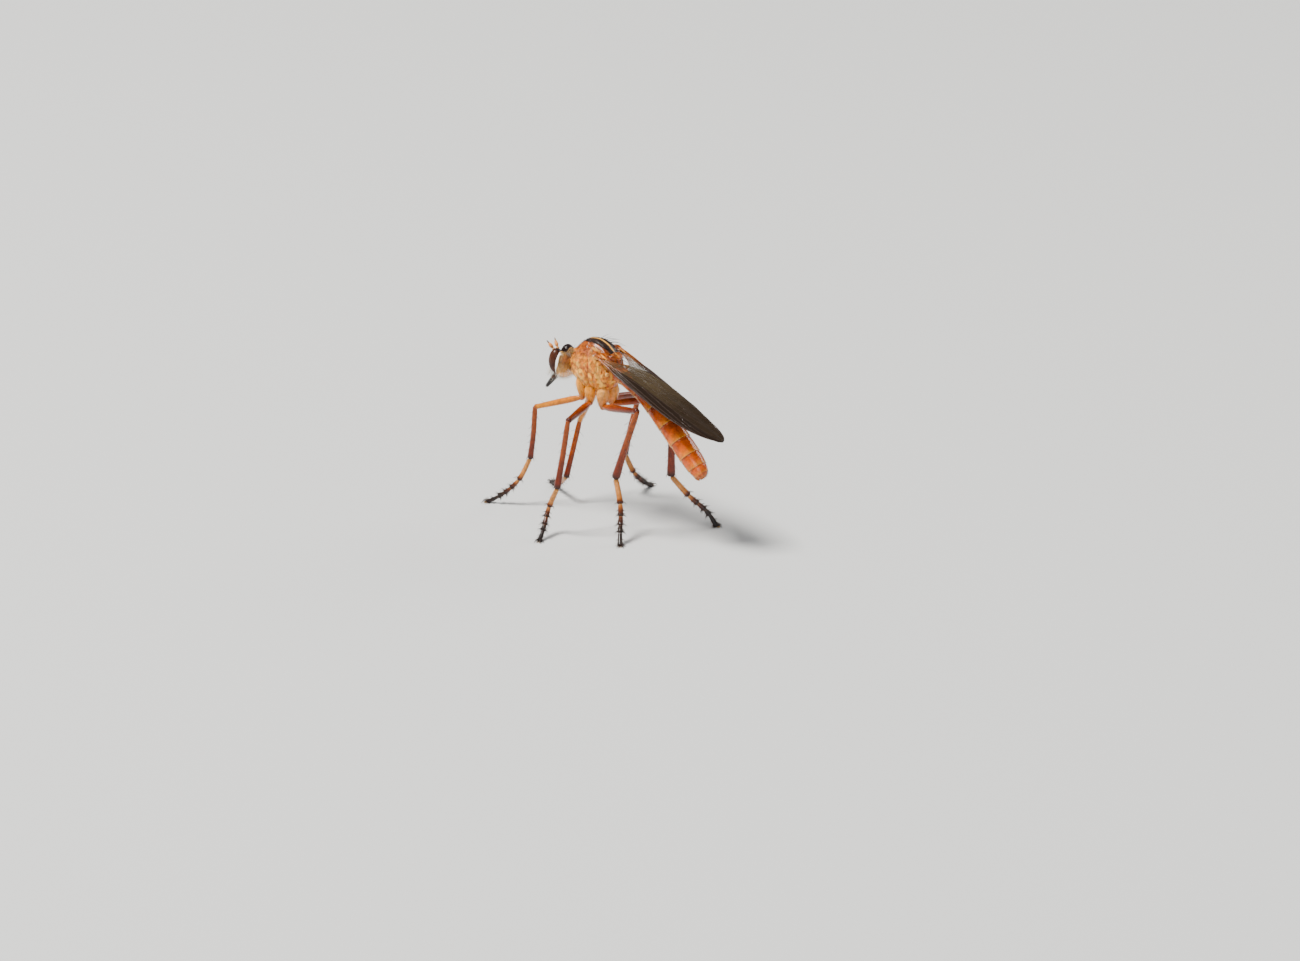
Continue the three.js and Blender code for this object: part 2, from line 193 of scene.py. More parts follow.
def unit(vectors):
    """Vectors at length 1."""
    vectors = np.asarray(vectors, float)
    return vectors / np.maximum(np.linalg.norm(vectors, axis=-1, keepdims=True), 1e-12)


def power(x, exponent):
    """|x|^exponent with the sign of x, which squares or rounds an ellipse."""
    return np.sign(x) * np.abs(x) ** exponent


def blend(first, second, share):
    """first where share is 0 and second where it is 1; share has one axis less."""
    share = np.asarray(share, float)[..., None]
    return np.asarray(first, float) * (1 - share) + np.asarray(second, float) * share


def spot_noise(points, size, seed):
    """Soft random patches from 0 to 1: many sine waves of about that size in seeded directions."""
    draw = np.random.default_rng(seed)
    count = 22
    waves = unit(draw.normal(size=(count, 3))) * 2 * np.pi / (size * draw.uniform(0.6, 2.4, (count, 1)))
    total = np.sin(points @ waves.T + draw.uniform(0, 2 * np.pi, count)).sum(-1)
    return 0.5 + 0.5 * np.tanh(total / 3.9)


print("curve check:", through([(0, 0), (1, 1), (2, 0)], [0.5, 1.0, 1.5]).ravel().round(3))

# %% [markdown]
# ## Shells
# A closed tube needs three things: rows of points along it, quads between neighbouring rows, and a
# pole at either end so that no hole is left. Painted values such as the tint travel with the points.
# Several shells can share one object, as the nine joints of a leg do.

# %% Shells and pieces


def ring_faces(rows, columns, start, end):
    """Quads between neighbouring rings, and the fans that join the outer rings to two pole points."""
    here = np.arange(columns)
    after = (here + 1) % columns
    row = np.arange(rows - 1)[:, None] * columns
    quads = np.stack([row + here, row + after, row + columns + after, row + columns + here], -1)
    last = (rows - 1) * columns
    start_fan = np.stack([after, here, np.full(columns, start)], -1)
    end_fan = np.stack([last + here, last + after, np.full(columns, end)], -1)
    return quads.reshape(-1, 4), start_fan, end_fan


def shell(surface, u, columns, paint=None):
    """A closed tube: surface(u, v) on a grid of rows u and even columns v, with a pole at each end."""
    u = np.asarray(u, float)
    rows = len(u)
    share_u, share_v = np.meshgrid(u, np.arange(columns) / columns, indexing="ij")
    grid = surface(share_u, share_v)
    quads, start_fan, end_fan = ring_faces(rows, columns, rows * columns, rows * columns + 1)
    values = {}
    for key, value in (paint(share_u, share_v, grid) if paint else {}).items():
        value = np.broadcast_to(value, grid.shape[:2] + np.shape(value)[2:])
        flat = value.reshape((rows * columns,) + value.shape[2:])
        values[key] = np.concatenate([flat, value[:1].mean(1), value[-1:].mean(1)])
    points = np.concatenate([grid.reshape(-1, 3), grid[:1].mean(1), grid[-1:].mean(1)])
    return {"points": points, "quads": quads, "fans": np.concatenate([start_fan, end_fan]), "paint": values}


def make_mesh(name, shells):
    """One mesh of several shells, in metres in the frame, with their painted values."""
    starts = np.cumsum([0] + [len(s["points"]) for s in shells])
    faces = []
    for s, start in zip(shells, starts):
        faces += (s["quads"] + start).tolist() + (s["fans"] + start).tolist()
    mesh = bpy.data.meshes.new(name)
    mesh.from_pydata(metres(np.concatenate([s["points"] for s in shells])), [], faces)
    mesh.polygons.foreach_set("use_smooth", np.ones(len(mesh.polygons), bool))
    for key in shells[0]["paint"]:
        value = np.concatenate([s["paint"][key] for s in shells]).astype(np.float32)
        if value.ndim == 2:
            value = np.concatenate([value, np.ones((len(value), 1), np.float32)], 1)
            mesh.attributes.new(key, "FLOAT_COLOR", "POINT").data.foreach_set("color", value.ravel())
        else:
            mesh.attributes.new(key, "FLOAT", "POINT").data.foreach_set("value", value)
    mesh.update()
    return mesh


def volume(s):
    """Volume in cubic mm from triangles and the origin: below zero if a shell is inside out."""
    corners = np.concatenate([s["quads"][:, [0, 1, 2]], s["quads"][:, [0, 2, 3]], s["fans"]])
    a, b, c = np.moveaxis(s["points"][corners], 1, 0)
    return (np.cross(a, b) * c).sum() / 6


piece_counts = {}


def piece(name, shells, material, slot, *stands_for):
    """An object at the origin that rides on the fly and stands for some of the solids."""
    mesh = make_mesh(name, shells)
    mesh.materials.append(material)
    built = bpy.data.objects.new(name, mesh)
    bpy.context.scene.collection.objects.link(built)
    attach(built, "root")
    if stands_for:
        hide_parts(*stands_for)
    piece_counts[name] = sum(len(s["quads"]) * 2 + len(s["fans"]) for s in shells)
    volumes = [volume(s) for s in shells]
    if min(volumes) < 0:
        raise ValueError(f"{name}: shell {int(np.argmin(volumes))} is inside out")
    print(f"{name}: {piece_counts[name]} triangles, {sum(volumes):.3f} cubic mm")
    return mesh


def rooted(surface, u, v, step=1e-3):
    """The points of a surface at shares u, v, with the way out of it and the way along it there."""
    along = surface(u + step, v) - surface(u - step, v)
    around = surface(u, v + step) - surface(u, v - step)
    return surface(u, v), unit(np.cross(around, along)), unit(along)


# %% [markdown]
# ## Hairs and bristles
# A bristle is a thin bent cone in a socket. Particle hair would be lost when the model is exported, so
# each hair is a small closed cone of mesh: a few rings on a centre line that starts straight and then
# bends, `root + length * (t * start + t^2 * bend)`. Hundreds are worked out together as one array. Each
# cone also gets its own patch on the map named OFBake, at the place where its root sits on the skin.

# %% Hair cones
PATCH = 0.0015                            # half a hair's patch on the map


def hair_shell(root, start, bend, length, width, place, sides=3, rings=3, taper=0.8):
    """Cones from arrays: root + length (t start + t^2 bend), radius width (1 - t)^taper, then a tip."""
    count = len(root)
    length = np.broadcast_to(length, count)[:, None, None]
    width = np.broadcast_to(width, count)[:, None, None, None]
    t = np.linspace(0, 1, rings + 1)[None, :, None]
    centre = root[:, None] + length * (t * start[:, None] + t * t * bend[:, None])
    tangent = unit(start[:, None] + 2 * t * bend[:, None] + 1e-9)
    aside = unit(np.cross(tangent, np.roll(tangent, 1, -1) + (0.3, 0.1, 0.7)))
    other = np.cross(tangent, aside)
    angle = (np.arange(sides) / sides * 2 * np.pi)[None, None, :, None]
    spoke = np.cos(angle) * aside[:, :, None] + np.sin(angle) * other[:, :, None]
    radius = width * (1 - t[..., None] * 0.999) ** taper
    body = (centre[:, :, None] + spoke * radius)[:, :rings]
    points = np.concatenate([body.reshape(count, -1, 3), centre[:, -1:], centre[:, :1]], 1)
    quads, root_fan, tip_fan = ring_faces(rings, sides, rings * sides + 1, rings * sides)
    offset = np.arange(count)[:, None, None] * points.shape[1]
    reach = PATCH * (1 - t[0, :rings, 0] * 0.8)[:, None, None]
    ring_map = np.concatenate([np.cos(angle[0, 0]), np.sin(angle[0, 0])], -1)[None] * reach
    local = np.concatenate([ring_map.reshape(-1, 2), np.zeros((2, 2))])
    return {
        "points": points.reshape(-1, 3),
        "quads": (quads + offset).reshape(-1, 4),
        "fans": (np.concatenate([tip_fan, root_fan]) + offset).reshape(-1, 3),
        "paint": {},
        "map": (np.asarray(place)[:, None] + local[None]).reshape(-1, 2),
    }


def coat(name, shells, material, slot):
    """One object of hair cones with their OFBake map."""
    mesh = piece(name, shells, material, slot)
    corner = np.empty(len(mesh.loops), np.int32)
    mesh.loops.foreach_get("vertex_index", corner)
    layer = mesh.uv_layers.new(name="OFBake")
    places = np.concatenate([s["map"] for s in shells])[corner]
    layer.data.foreach_set("uv", places.astype(np.float32).ravel())


def cell(place, column, row, columns, rows):
    """Shares u, v of one surface, set into its own cell of a map that several surfaces share."""
    u, v = place
    return np.stack([(column + 0.04 + 0.92 * u) / columns, (row + 0.04 + 0.92 * (v % 1)) / rows], -1)


print("helpers ready")

# %% [markdown]
# ## Finishes
# Three things make insect cuticle look real. Its colour sits under a clear waxy skin, so it needs a
# coat layer over a slightly rough base. Its fine dust, called pollen, hides that gloss in patches. And
# it is never one even colour. The tint and the dust are painted on the points by the shape functions,
# and the material breaks both up with noise at the scale of a tenth of a millimetre.

# %% Material helpers


def new_material(name):
    """A material, a short way to add nodes to it, and one to set what its Principled shader takes."""
    material = bpy.data.materials.new(name)
    material.use_nodes = True
    tree = material.node_tree

    def plug(node, inputs):
        for key, value in inputs.items():
            socket = node.inputs[int(key[1:])] if key[0] == "_" else node.inputs[key.replace("_", " ")]
            if isinstance(value, bpy.types.NodeSocket):
                tree.links.new(value, socket)
            else:
                socket.default_value = value

    def add(kind, settings=None, **inputs):
        node = tree.nodes.new(kind)
        for key, value in (settings or {}).items():
            setattr(node, key, value)
        plug(node, inputs)
        return node

    def finish(**inputs):
        plug(tree.nodes["Principled BSDF"], inputs)

    return material, add, finish


def millimetres(add):
    """Object coordinates in millimetres."""
    place = add("ShaderNodeTexCoord").outputs["Object"]
    return add("ShaderNodeVectorMath", {"operation": "SCALE"}, _0=place, Scale=1 / MM).outputs[0]


def painted(add, name, output="Fac"):
    """A value or colour that was painted on the points."""
    return add("ShaderNodeAttribute", {"attribute_name": name}).outputs[output]


def noise(add, where, scale, detail=3.0, rough=0.55):
    """Noise from about 0 to 1, with features about 1 / scale mm across."""
    return add("ShaderNodeTexNoise", None, Vector=where, Scale=scale, Detail=detail,
               Roughness=rough).outputs[0]


def remap(add, value, low, high, to_low=0.0, to_high=1.0):
    """The value's range low to high, carried to another range and held there."""
    return add("ShaderNodeMapRange", {"interpolation_type": "SMOOTHSTEP"},
               _0=value, _1=low, _2=high, _3=to_low, _4=to_high).outputs[0]


def plus(add, first, second, factor=1.0):
    """first * factor + second."""
    return add("ShaderNodeMath", {"operation": "MULTIPLY_ADD"}, _0=first, _1=factor, _2=second).outputs[0]


def times(add, first, second):
    """Product of two values."""
    return add("ShaderNodeMath", {"operation": "MULTIPLY"}, _0=first, _1=second).outputs[0]


def bumpy(add, height, strength, distance):
    """Normals bent by a height: distance is how far in metres a height of 1 stands out."""
    return add("ShaderNodeBump", None, Strength=strength, Distance=distance, Height=height).outputs[0]


def mix_colour(add, share, first, second, how="MIX"):
    """Two colours mixed by a share."""
    return add("ShaderNodeMix", {"data_type": "RGBA", "blend_type": how},
               _0=share, _6=first, _7=second).outputs[2]


def cuticle(name, dust_colour, patch_scale, rough, coat, grain, translucent=0.04, contrast=1.0):
    """Waxy shell: painted tint, noise shades, and dust where the dust value and a noise allow it.
    rough holds the roughness of the bare shell and of full dust."""
    material, add, finish = new_material(name)
    where = millimetres(add)
    tint = painted(add, "tint", "Color")
    dust = painted(add, "dust")
    broad = noise(add, where, patch_scale, 4.0)
    fine = noise(add, where, patch_scale * 7, 3.0, 0.7)
    shade = remap(add, broad, 0.3, 0.7, 1 - 0.28 * contrast, 1 + 0.22 * contrast)
    shade = times(add, shade, remap(add, fine, 0.25, 0.75, 1 - 0.14 * contrast, 1 + 0.12 * contrast))
    grey = add("ShaderNodeCombineColor", None, Red=shade, Green=shade, Blue=shade).outputs[0]
    colour = mix_colour(add, 1.0, tint, grey, "MULTIPLY")
    patches = remap(add, noise(add, where, patch_scale * 1.3, 4.0, 0.6), 0.34, 0.68)
    grains = remap(add, noise(add, where, patch_scale * 12, 2.0, 0.8), 0.3, 0.7, -0.12, 0.12)
    spread = plus(add, plus(add, patches, dust, 0.5), grains)
    cover = times(add, remap(add, spread, 0.3, 1.4), remap(add, dust, 0.0, 0.3))
    pits = add("ShaderNodeTexVoronoi", None, Vector=where, Scale=13.0).outputs["Distance"]
    finish(
        Base_Color=mix_colour(add, cover, colour, dust_colour),
        Roughness=remap(add, cover, 0.0, 0.9, *rough),
        Coat_Weight=coat,
        Coat_Roughness=0.12,
        Specular_IOR_Level=0.22,
        Subsurface_Weight=translucent,
        Subsurface_Radius=(0.0006, 0.0002, 0.00008),
        Subsurface_Scale=1.0,
        Normal=bumpy(add, plus(add, pits, fine, 0.5), 0.35 * grain, 0.00003),
    )
    return material


def horn(name, colour, edge, rough, coat):
    """Hairs and bristles: one shade that passes into another, under a thin gloss."""
    material, add, finish = new_material(name)
    where = millimetres(add)
    finish(
        Base_Color=mix_colour(add, remap(add, noise(add, where, 18.0), 0.35, 0.7), colour, edge),
        Roughness=remap(add, noise(add, where, 36.0), 0.3, 0.7, rough - 0.06, rough + 0.1),
        Coat_Weight=coat,
        Specular_IOR_Level=0.15,
    )
    return material


# %% Colours of the fly, as linear light
GOLD = (0.74, 0.220, 0.004)
ORANGE = (0.62, 0.090, 0.002)
RUST = (0.27, 0.028, 0.002)
# Dark red is the abdomen's own colour, and also its painted shade under the wings.
DARK_RED = (0.11, 0.009, 0.002)
TAN = (0.48, 0.240, 0.060)
CREAM = (0.88, 0.52, 0.17)
WHITE = (0.92, 0.90, 0.82)
BROWN = (0.085, 0.034, 0.014)
BLACK = (0.012, 0.009, 0.008)

# Name, dust colour, patches in each mm, roughness bare and dusted, gloss coat, bumps.
thorax_finish = cuticle("dusted shell", (0.82, 0.37, 0.045, 1), 2.2, (0.30, 0.68), 0.2, 1.3, contrast=1.9)
head_finish = cuticle("dusted face", (*WHITE, 1), 3.0, (0.38, 0.85), 0.2, 1.2)
abdomen_finish = cuticle("glossy bands", (*CREAM, 1), 1.5, (0.24, 0.7), 0.5, 0.6)
leg_finish = cuticle("glossy legs", (*CREAM, 1), 2.0, (0.28, 0.7), 0.25, 0.6, 0.02)
dark_bristle = horn("dark bristle", (*BLACK, 1), (0.05, 0.022, 0.012, 1), 0.35, 0.3)
pale_hair = horn("golden hair", (0.74, 0.38, 0.07, 1), (0.84, 0.52, 0.15, 1), 0.5, 0.0)
white_hair = horn("white hair", (0.80, 0.76, 0.66, 1), (0.90, 0.88, 0.80, 1), 0.5, 0.0)
print("finishes:", len(bpy.data.materials))

# %% [markdown]
# ## The thorax
# The thorax is a box of muscle for wings and legs. Seen from the side it is taller than it is long,
# with a high hump. Its back, the notum, carries two broad black stripes with a pale line between them.
# Its flank is a mosaic of plates with creases between them, each plate a little domed and dusted in its
# own tone. A superellipse ring carried along x gives the form. The mosaic comes from the middles of
# the plates: a point belongs to the nearest middle, and the crease runs where two are equally near.

# %% Thorax form
THORAX = [   # x, half width, top, bottom in mm
    (-3.65, 0.75, 21.8, 19.5), (-3.25, 1.4, 22.8, 18.9), (-2.4, 1.9, 23.9, 18.3), (-1.2, 2.15, 24.6, 17.9),
    (0.1, 2.2, 24.75, 17.75), (1.4, 2.1, 24.4, 17.85), (2.5, 1.75, 23.65, 18.5), (3.1, 1.25, 22.9, 19.4),
    (3.32, 0.8, 22.3, 20.0), (3.42, 0.3, 21.7, 20.7),
]
BOXY = 2.3                                # squareness of the thorax's rings
FLANK = 8.2                               # mm from the top of a ring to its bottom, along the side
PLATES = [   # x, share down the side, reach along and down in mm, dome in mm, tone from 0 rust to 2 cream
    (-1.9, 0.07, 1.6, 1.2, 0.0, 0.8),       # front of the notum
    (0.9, 0.07, 1.9, 1.2, 0.0, 0.8),        # rear of the notum
    (-2.75, 0.25, 0.5, 0.5, 0.12, 1.3),     # shoulder knob
    (-1.1, 0.265, 0.8, 0.35, 0.07, 0.5),    # plate at the end of the cross groove
    (2.1, 0.21, 0.7, 0.55, 0.10, 0.4),      # knob behind the wing
    (-3.0, 0.46, 0.55, 0.9, 0.05, 0.9),     # neck side plate
    (-1.25, 0.43, 1.15, 0.85, 0.10, 0.75),  # big plate in front of the wing
    (0.55, 0.43, 0.7, 0.8, 0.12, 1.45),     # plate under the wing
    (-1.25, 0.67, 1.05, 1.1, 0.12, 1.15),   # big plate over the middle coxa
    (0.35, 0.63, 0.5, 0.85, 0.08, 1.5),     # narrow plate behind it
    (1.25, 0.66, 0.65, 0.75, 0.10, 1.2),    # plate over the hind coxa
    (1.75, 0.41, 0.55, 0.6, 0.20, 1.3),     # swelling under the wing's rear edge
    (2.55, 0.5, 0.5, 0.9, 0.10, 0.8),       # plate in front of the abdomen
    (-2.55, 0.72, 0.7, 0.7, 0.05, 1.1),     # plate over the front coxa
    (-1.2, 0.97, 2.0, 0.8, 0.04, 1.0),      # breast
    (1.5, 0.95, 1.3, 0.8, 0.04, 1.0),       # breast, rear
]
BREATHING_HOLES = [(-2.62, 0.36), (2.2, 0.505)]   # x in mm and share down the side of the two slits
plate_x, plate_down, reach_x, reach_down, plate_dome, plate_tone = np.array(PLATES).T


def ring_point(stations, square, x, v):
    """A superellipse ring at x: v = 0 at the belly, 0.25 on the right, 0.5 on top."""
    half, top, bottom = np.moveaxis(through(stations, x), -1, 0)
    angle = 2 * np.pi * (v - 0.25)
    y = half * power(np.cos(angle), 2 / square)
    z = (top + bottom) / 2 + (top - bottom) / 2 * power(np.sin(angle), 2 / square)
    return np.stack([x, y, z], -1)


def between_ends(stations, u):
    """x from the first station to the last, with rows close together at both ends."""
    first, last = stations[0][0], stations[-1][0]
    return first + (last - first) * (0.5 - 0.5 * np.cos(np.pi * np.clip(u, 0, 1)))


def down_share(v):
    """0 along the top of a ring and 1 along its bottom, alike on both sides."""
    return np.abs(2 * (v % 1) - 1)


def flank_plates(x, down):
    """The nearest plate, and about how far in mm to the line where the next is as near. Distances are
    counted in each plate's own reach, so wide plates keep more room and the lines between them curve."""
    bent_x = x + 0.14 * np.sin(9 * down + 1.3 * x) + 0.05 * np.sin(23 * down)
    bent_s = FLANK * down + 0.16 * np.sin(2.3 * x + 7 * down) + 0.05 * np.sin(7.1 * x)
    gap_x = (bent_x[..., None] - plate_x) / reach_x
    gap = np.hypot(gap_x, (bent_s[..., None] - FLANK * plate_down) / reach_down)
    order = np.argsort(gap, -1)
    first, second = order[..., 0], order[..., 1]
    near = np.take_along_axis(gap, order[..., :1], -1)[..., 0]
    far = np.take_along_axis(gap, order[..., 1:2], -1)[..., 0]
    reach = np.sqrt(reach_x * reach_down)
    return first, (far - near) / (1 / reach[first] + 1 / reach[second])


def thorax_relief(x, down):
    """Height over the plain form in mm: domes, creases, lobes, the cross groove and the wing's pit."""
    plate, border = flank_plates(x, down)
    flank = ease(0.19, 0.25, down)
    deep = 0.045 + 0.035 * np.sin(2.7 * x + 11 * down)
    height = flank * (plate_dome[plate] * ease(0, 0.5, border) - deep * hill(border, 0, 0.035))
    height += flank * 0.03 * np.sin(5 * x + 3 * np.sin(13 * down)) * np.sin(17 * down + 2 * x)
    height += flank * 0.014 * np.sin(15 * x + 4 * np.sin(31 * down)) * np.sin(61 * down + 5 * x)
    height += 0.20 * hill(x, -2.75, 0.36) * hill(down, 0.25, 0.055)
    height += 0.15 * hill(x, 2.15, 0.4) * hill(down, 0.2, 0.05)
    groove = hill(x + 0.75 - 1.2 * down, 0, 0.09) * ease(0.08, 0.15, down)
    height -= 0.10 * groove * (1 - ease(0.22, 0.27, down))
    height -= 0.20 * hill(x, 1.55, 0.75) * hill(down, 0.315, 0.03)
    height += 0.14 * hill(x, -3.3, 0.11) * (1 - ease(0.75, 0.95, down))
    for place_x, place_down in BREATHING_HOLES:
        slit = hill(x + 1.2 * (down - place_down), place_x, 0.07) * hill(down, place_down, 0.024)
        height -= 0.14 * flank * slit
    height -= 0.03 * hill(down, 0.115, 0.02) * ease(-2.9, -2.2, x) * (1 - ease(1.6, 2.4, x))
    return height


def thorax_plain(u, v):
    """The thorax's ringed form with no relief."""
    return ring_point(THORAX, BOXY, between_ends(THORAX, u), v)


def thorax_surface(u, v):
    """The ringed form, moved out along its own slope by the relief."""
    point, out, _ = rooted(thorax_plain, u, v)
    return point + out * thorax_relief(point[..., 0], down_share(v))[..., None]


# %% Thorax colours
STRIPE_MIDDLE, STRIPE_REACH = 0.35, 2.75  # where along x the black stripes lie, mm
PALE_LINE = 0.12                          # half width of the pale line between them, mm


def dark_orange(point):
    """The mottled ground of the notum and the scutellum."""
    return blend((0.44, 0.10, 0.003), (0.22, 0.034, 0.002), 0.2 + 0.6 * spot_noise(point, 0.9, 8))


def thorax_paint(u, v, point):
    """Plate tones with rusty creases, two black stripes, a pale line, and a dusted cream painted highlight
    over the wing.
    """
    x, y = point[..., 0], np.abs(point[..., 1])
    down = down_share(v)
    plate, border = flank_plates(x, down)
    tone = 0.05 + plate_tone[plate] + 1.3 * (spot_noise(point, 0.5, 5) - 0.5)
    tone = tone + 0.7 * (spot_noise(point, 1.3, 6) - 0.5)
    tint = blend(blend(RUST, GOLD, ease(-0.1, 0.9, tone)), (0.95, 0.50, 0.075), 0.9 * ease(1.1, 1.8, tone))
    rear = ease(-1.0, 1.8, x) * (1 - ease(0.4, 0.62, down))
    upper = 0.85 * (1 - ease(0.3, 0.45, down))
    amber = blend((0.46, 0.105, 0.004), (0.30, 0.055, 0.003), spot_noise(point, 0.5, 15))
    amber_share = (0.12 + np.maximum(0.55 * rear, upper)) * (0.4 + 0.6 * spot_noise(point, 0.8, 14))
    tint = blend(tint, amber, amber_share)
    flank = ease(0.2, 0.33, down + 0.08 * (spot_noise(point, 0.7, 23) - 0.5))
    tint = blend(dark_orange(point), tint, flank)
    tint = blend(tint, RUST, 0.9 * flank * hill(border, 0, 0.085) * (0.4 + 0.6 * spot_noise(point, 1.3, 3)))
    tint = blend(tint, (0.30, 0.085, 0.045), 0.75 * hill(x, -0.2, 0.9) * hill(down, 0.33, 0.06))
    for place_x, place_down in BREATHING_HOLES:
        slit = hill(x + 1.2 * (down - place_down), place_x, 0.06) * hill(down, place_down, 0.022)
        tint = blend(tint, BLACK, 0.9 * slit)
    dust = flank * (0.08 + 0.4 * ease(0.8, 1.9, tone)) * (0.55 + 0.45 * ease(0, 0.14, border))
    dust = dust * (1 - 0.8 * upper) + 0.06 * (1 - flank)
    reach = np.sqrt(np.clip(1 - ((x - STRIPE_MIDDLE) / STRIPE_REACH) ** 2, 0, 1))
    edge = PALE_LINE + 1.02 * reach**0.8 + 0.05 * np.sin(5 * x)
    top = 1 - ease(0.24, 0.3, down)
    stripe = top * ease(PALE_LINE - 0.03, PALE_LINE + 0.05, y) * (1 - ease(edge - 0.1, edge + 0.04, y))
    tint = blend(tint, BLACK, 0.97 * stripe * ease(0.02, 0.2, reach))
    dust = dust * (1 - stripe)
    line = top * (1 - ease(PALE_LINE - 0.04, PALE_LINE + 0.02, y))
    line = line * ease(-3.0, -2.4, x) * (1 - ease(2.3, 2.9, x))
    tint = blend(tint, CREAM, line)
    dust = np.maximum(dust, 1.1 * line)
    # A dusted cream patch above the wing's root: a painted highlight.
    painted_highlight = hill(x, 0.75, 0.55) * hill(down, 0.235, 0.022)
    tint = blend(tint, CREAM, 0.6 * painted_highlight)
    dust = np.maximum(dust, painted_highlight)
    shoulder = hill(x, -2.75, 0.35) * hill(down, 0.26, 0.05)
    return {"tint": blend(tint, GOLD, 0.3 * shoulder), "dust": np.maximum(dust, 0.15 * shoulder)}


piece("thorax_shell", [shell(thorax_surface, np.linspace(0, 1, 231), 260, thorax_paint)],
      thorax_finish, "cuticle_tan", "thorax")

# %% [markdown]
# ## The scutellum and the neck
# The scutellum is a smooth orange pad behind the notum, like the tongue of a shoe. It is an ellipsoid
# pitched down to the rear, with a faint groove inside its rim. The neck is a short soft sleeve, and
# shallow waves along it are its folds.

# %% Scutellum and neck
SCUTELLUM_MIDDLE, SCUTELLUM_RADII = (2.85, 0, 22.92), (0.85, 1.15, 0.4)
SCUTELLUM_PITCH = np.radians(22)


def scutellum_surface(u, v):
    """An ellipsoid whose poles lie left and right, squared a little, then pitched about y."""
    lift, ring = np.pi * np.clip(u, 0, 1), 2 * np.pi * v
    rx, ry, rz = SCUTELLUM_RADII
    x = rx * power(np.sin(lift), 0.9) * power(np.sin(ring), 0.9)
    y = -ry * np.cos(lift)
    z = rz * power(np.sin(lift), 0.9) * power(np.cos(ring), 0.8)
    rim = hill(np.hypot(x / rx, y / ry), 0.8, 0.08)
    z = z - 0.06 * rim * (np.cos(ring) > 0)
    c, s = np.cos(SCUTELLUM_PITCH), np.sin(SCUTELLUM_PITCH)
    return np.stack([x * c + z * s, y, z * c - x * s], -1) + SCUTELLUM_MIDDLE


def scutellum_paint(u, v, point):
    """Dark orange like the notum, dusted along the middle and rust at the rim."""
    x, y = point[..., 0], np.abs(point[..., 1])
    tint = blend(dark_orange(point), RUST, 0.5 * ease(0.7, 1.05, y) + 0.3 * ease(3.4, 3.7, x))
    return {"tint": tint, "dust": 0.1 + 0.3 * hill(y, 0, 0.2)}


NECK = np.array([(-5.3, 0.0, 20.4), (-3.1, 0.0, 20.65)])
NECK_RADII = [(0, 0.66), (0.3, 0.62), (0.6, 0.8), (0.85, 1.0), (1, 1.02)]


def neck_surface(u, v):
    """A sleeve along a straight line, with three shallow folds."""
    angle = 2 * np.pi * (v - 0.25)
    radius = through(NECK_RADII, u)[..., 0] + 0.025 * np.sin(u * 7 * np.pi + 0.6 * np.sin(angle))
    centre = blend(NECK[0], NECK[1], u)
    return centre + np.stack([0 * u, radius * np.cos(angle), radius * 1.05 * np.sin(angle)], -1)


def neck_paint(u, v, point):
    """Tan folds with brown between them, and rusty patches."""
    fold = 0.5 - 0.5 * np.sin(u * 7 * np.pi + 0.6 * np.sin(2 * np.pi * (v - 0.25)))
    tint = blend(blend(TAN, GOLD, 0.4), (0.16, 0.06, 0.012), 0.6 * fold**2)
    return {"tint": blend(tint, RUST, 0.5 * spot_noise(point, 0.7, 17)), "dust": 0.15 * (1 - fold)}


piece("scutellum_shell", [shell(scutellum_surface, np.linspace(0, 1, 61), 72, scutellum_paint)],
      thorax_finish, "cuticle_orange", "scutellum")
piece("neck_sleeve", [shell(neck_surface, np.linspace(0, 1, 60), 48, neck_paint)],
      thorax_finish, "cuticle_tan", "neck")

# %% [markdown]
# ## The head
# The head is short from front to back and as wide as the thorax. What marks a robber fly is the hollow
# between its eyes: the crown sinks there, and three small single eyes stand in it on a knob. The capsule
# is a ringed form like the thorax. Its crown is lowered along the middle, a white dusted rim follows the
# back edge of each eye, and the cheeks swell below.

# %% Head capsule
HEAD = [   # x, half width, top, bottom in mm
    (-7.28, 0.22, 20.5, 19.55), (-7.15, 0.5, 20.9, 19.3), (-6.9, 0.95, 21.4, 18.75), (-6.3, 1.6, 21.95, 18.3),
    (-5.6, 2.05, 22.25, 18.2), (-5.1, 1.9, 22.15, 18.45), (-4.7, 1.35, 21.7, 19.0), (-4.5, 0.7, 21.2, 19.7),
    (-4.42, 0.3, 20.8, 20.1),
]
HEAD_BOXY = 2.25
EYE_MIDDLE, EYE_RADII = np.array([-6.3, 1.12, 20.6]), np.array([1.0, 1.1, 1.68])


def eye_distance(point):
    """1 on the eye of that side, more outside it."""
    mirrored = np.stack([point[..., 0], np.abs(point[..., 1]), point[..., 2]], -1)
    return np.linalg.norm((mirrored - EYE_MIDDLE) / EYE_RADII, axis=-1)


def head_surface(u, v):
    """Rings along x, with the crown sunk between the eyes, a knob in it, cheeks, and a swollen face."""
    point = ring_point(HEAD, HEAD_BOXY, between_ends(HEAD, u), v)
    x, y, z = np.moveaxis(point, -1, 0)
    crown = ease(20.7, 21.5, z)
    hollow = ease(-7.0, -6.5, x) * (1 - 0.55 * ease(-5.6, -5.0, x))
    z = z - 0.95 * crown * hollow * hill(y, 0, 0.62)
    z = z + 0.30 * crown * hill(x, -5.9, 0.26) * hill(y, 0, 0.2)
    back_of_head = ease(-5.5, -5.0, x)
    y = y * (1 + 0.10 * hill(z, 19.1, 0.5) * back_of_head)
    x = x + 0.16 * hill(z, 19.2, 0.55) * back_of_head * hill(np.abs(y), 1.2, 0.6)
    x = x - 0.16 * hill(z, 19.5, 0.45) * (1 - ease(-7.1, -6.7, x)) * hill(y, 0, 0.5)
    rim = hill(eye_distance(np.stack([x, y, z], -1)), 1.07, 0.05) * ease(-6.0, -5.75, x)
    return np.stack([x, y * (1 + 0.02 * rim), z], -1)


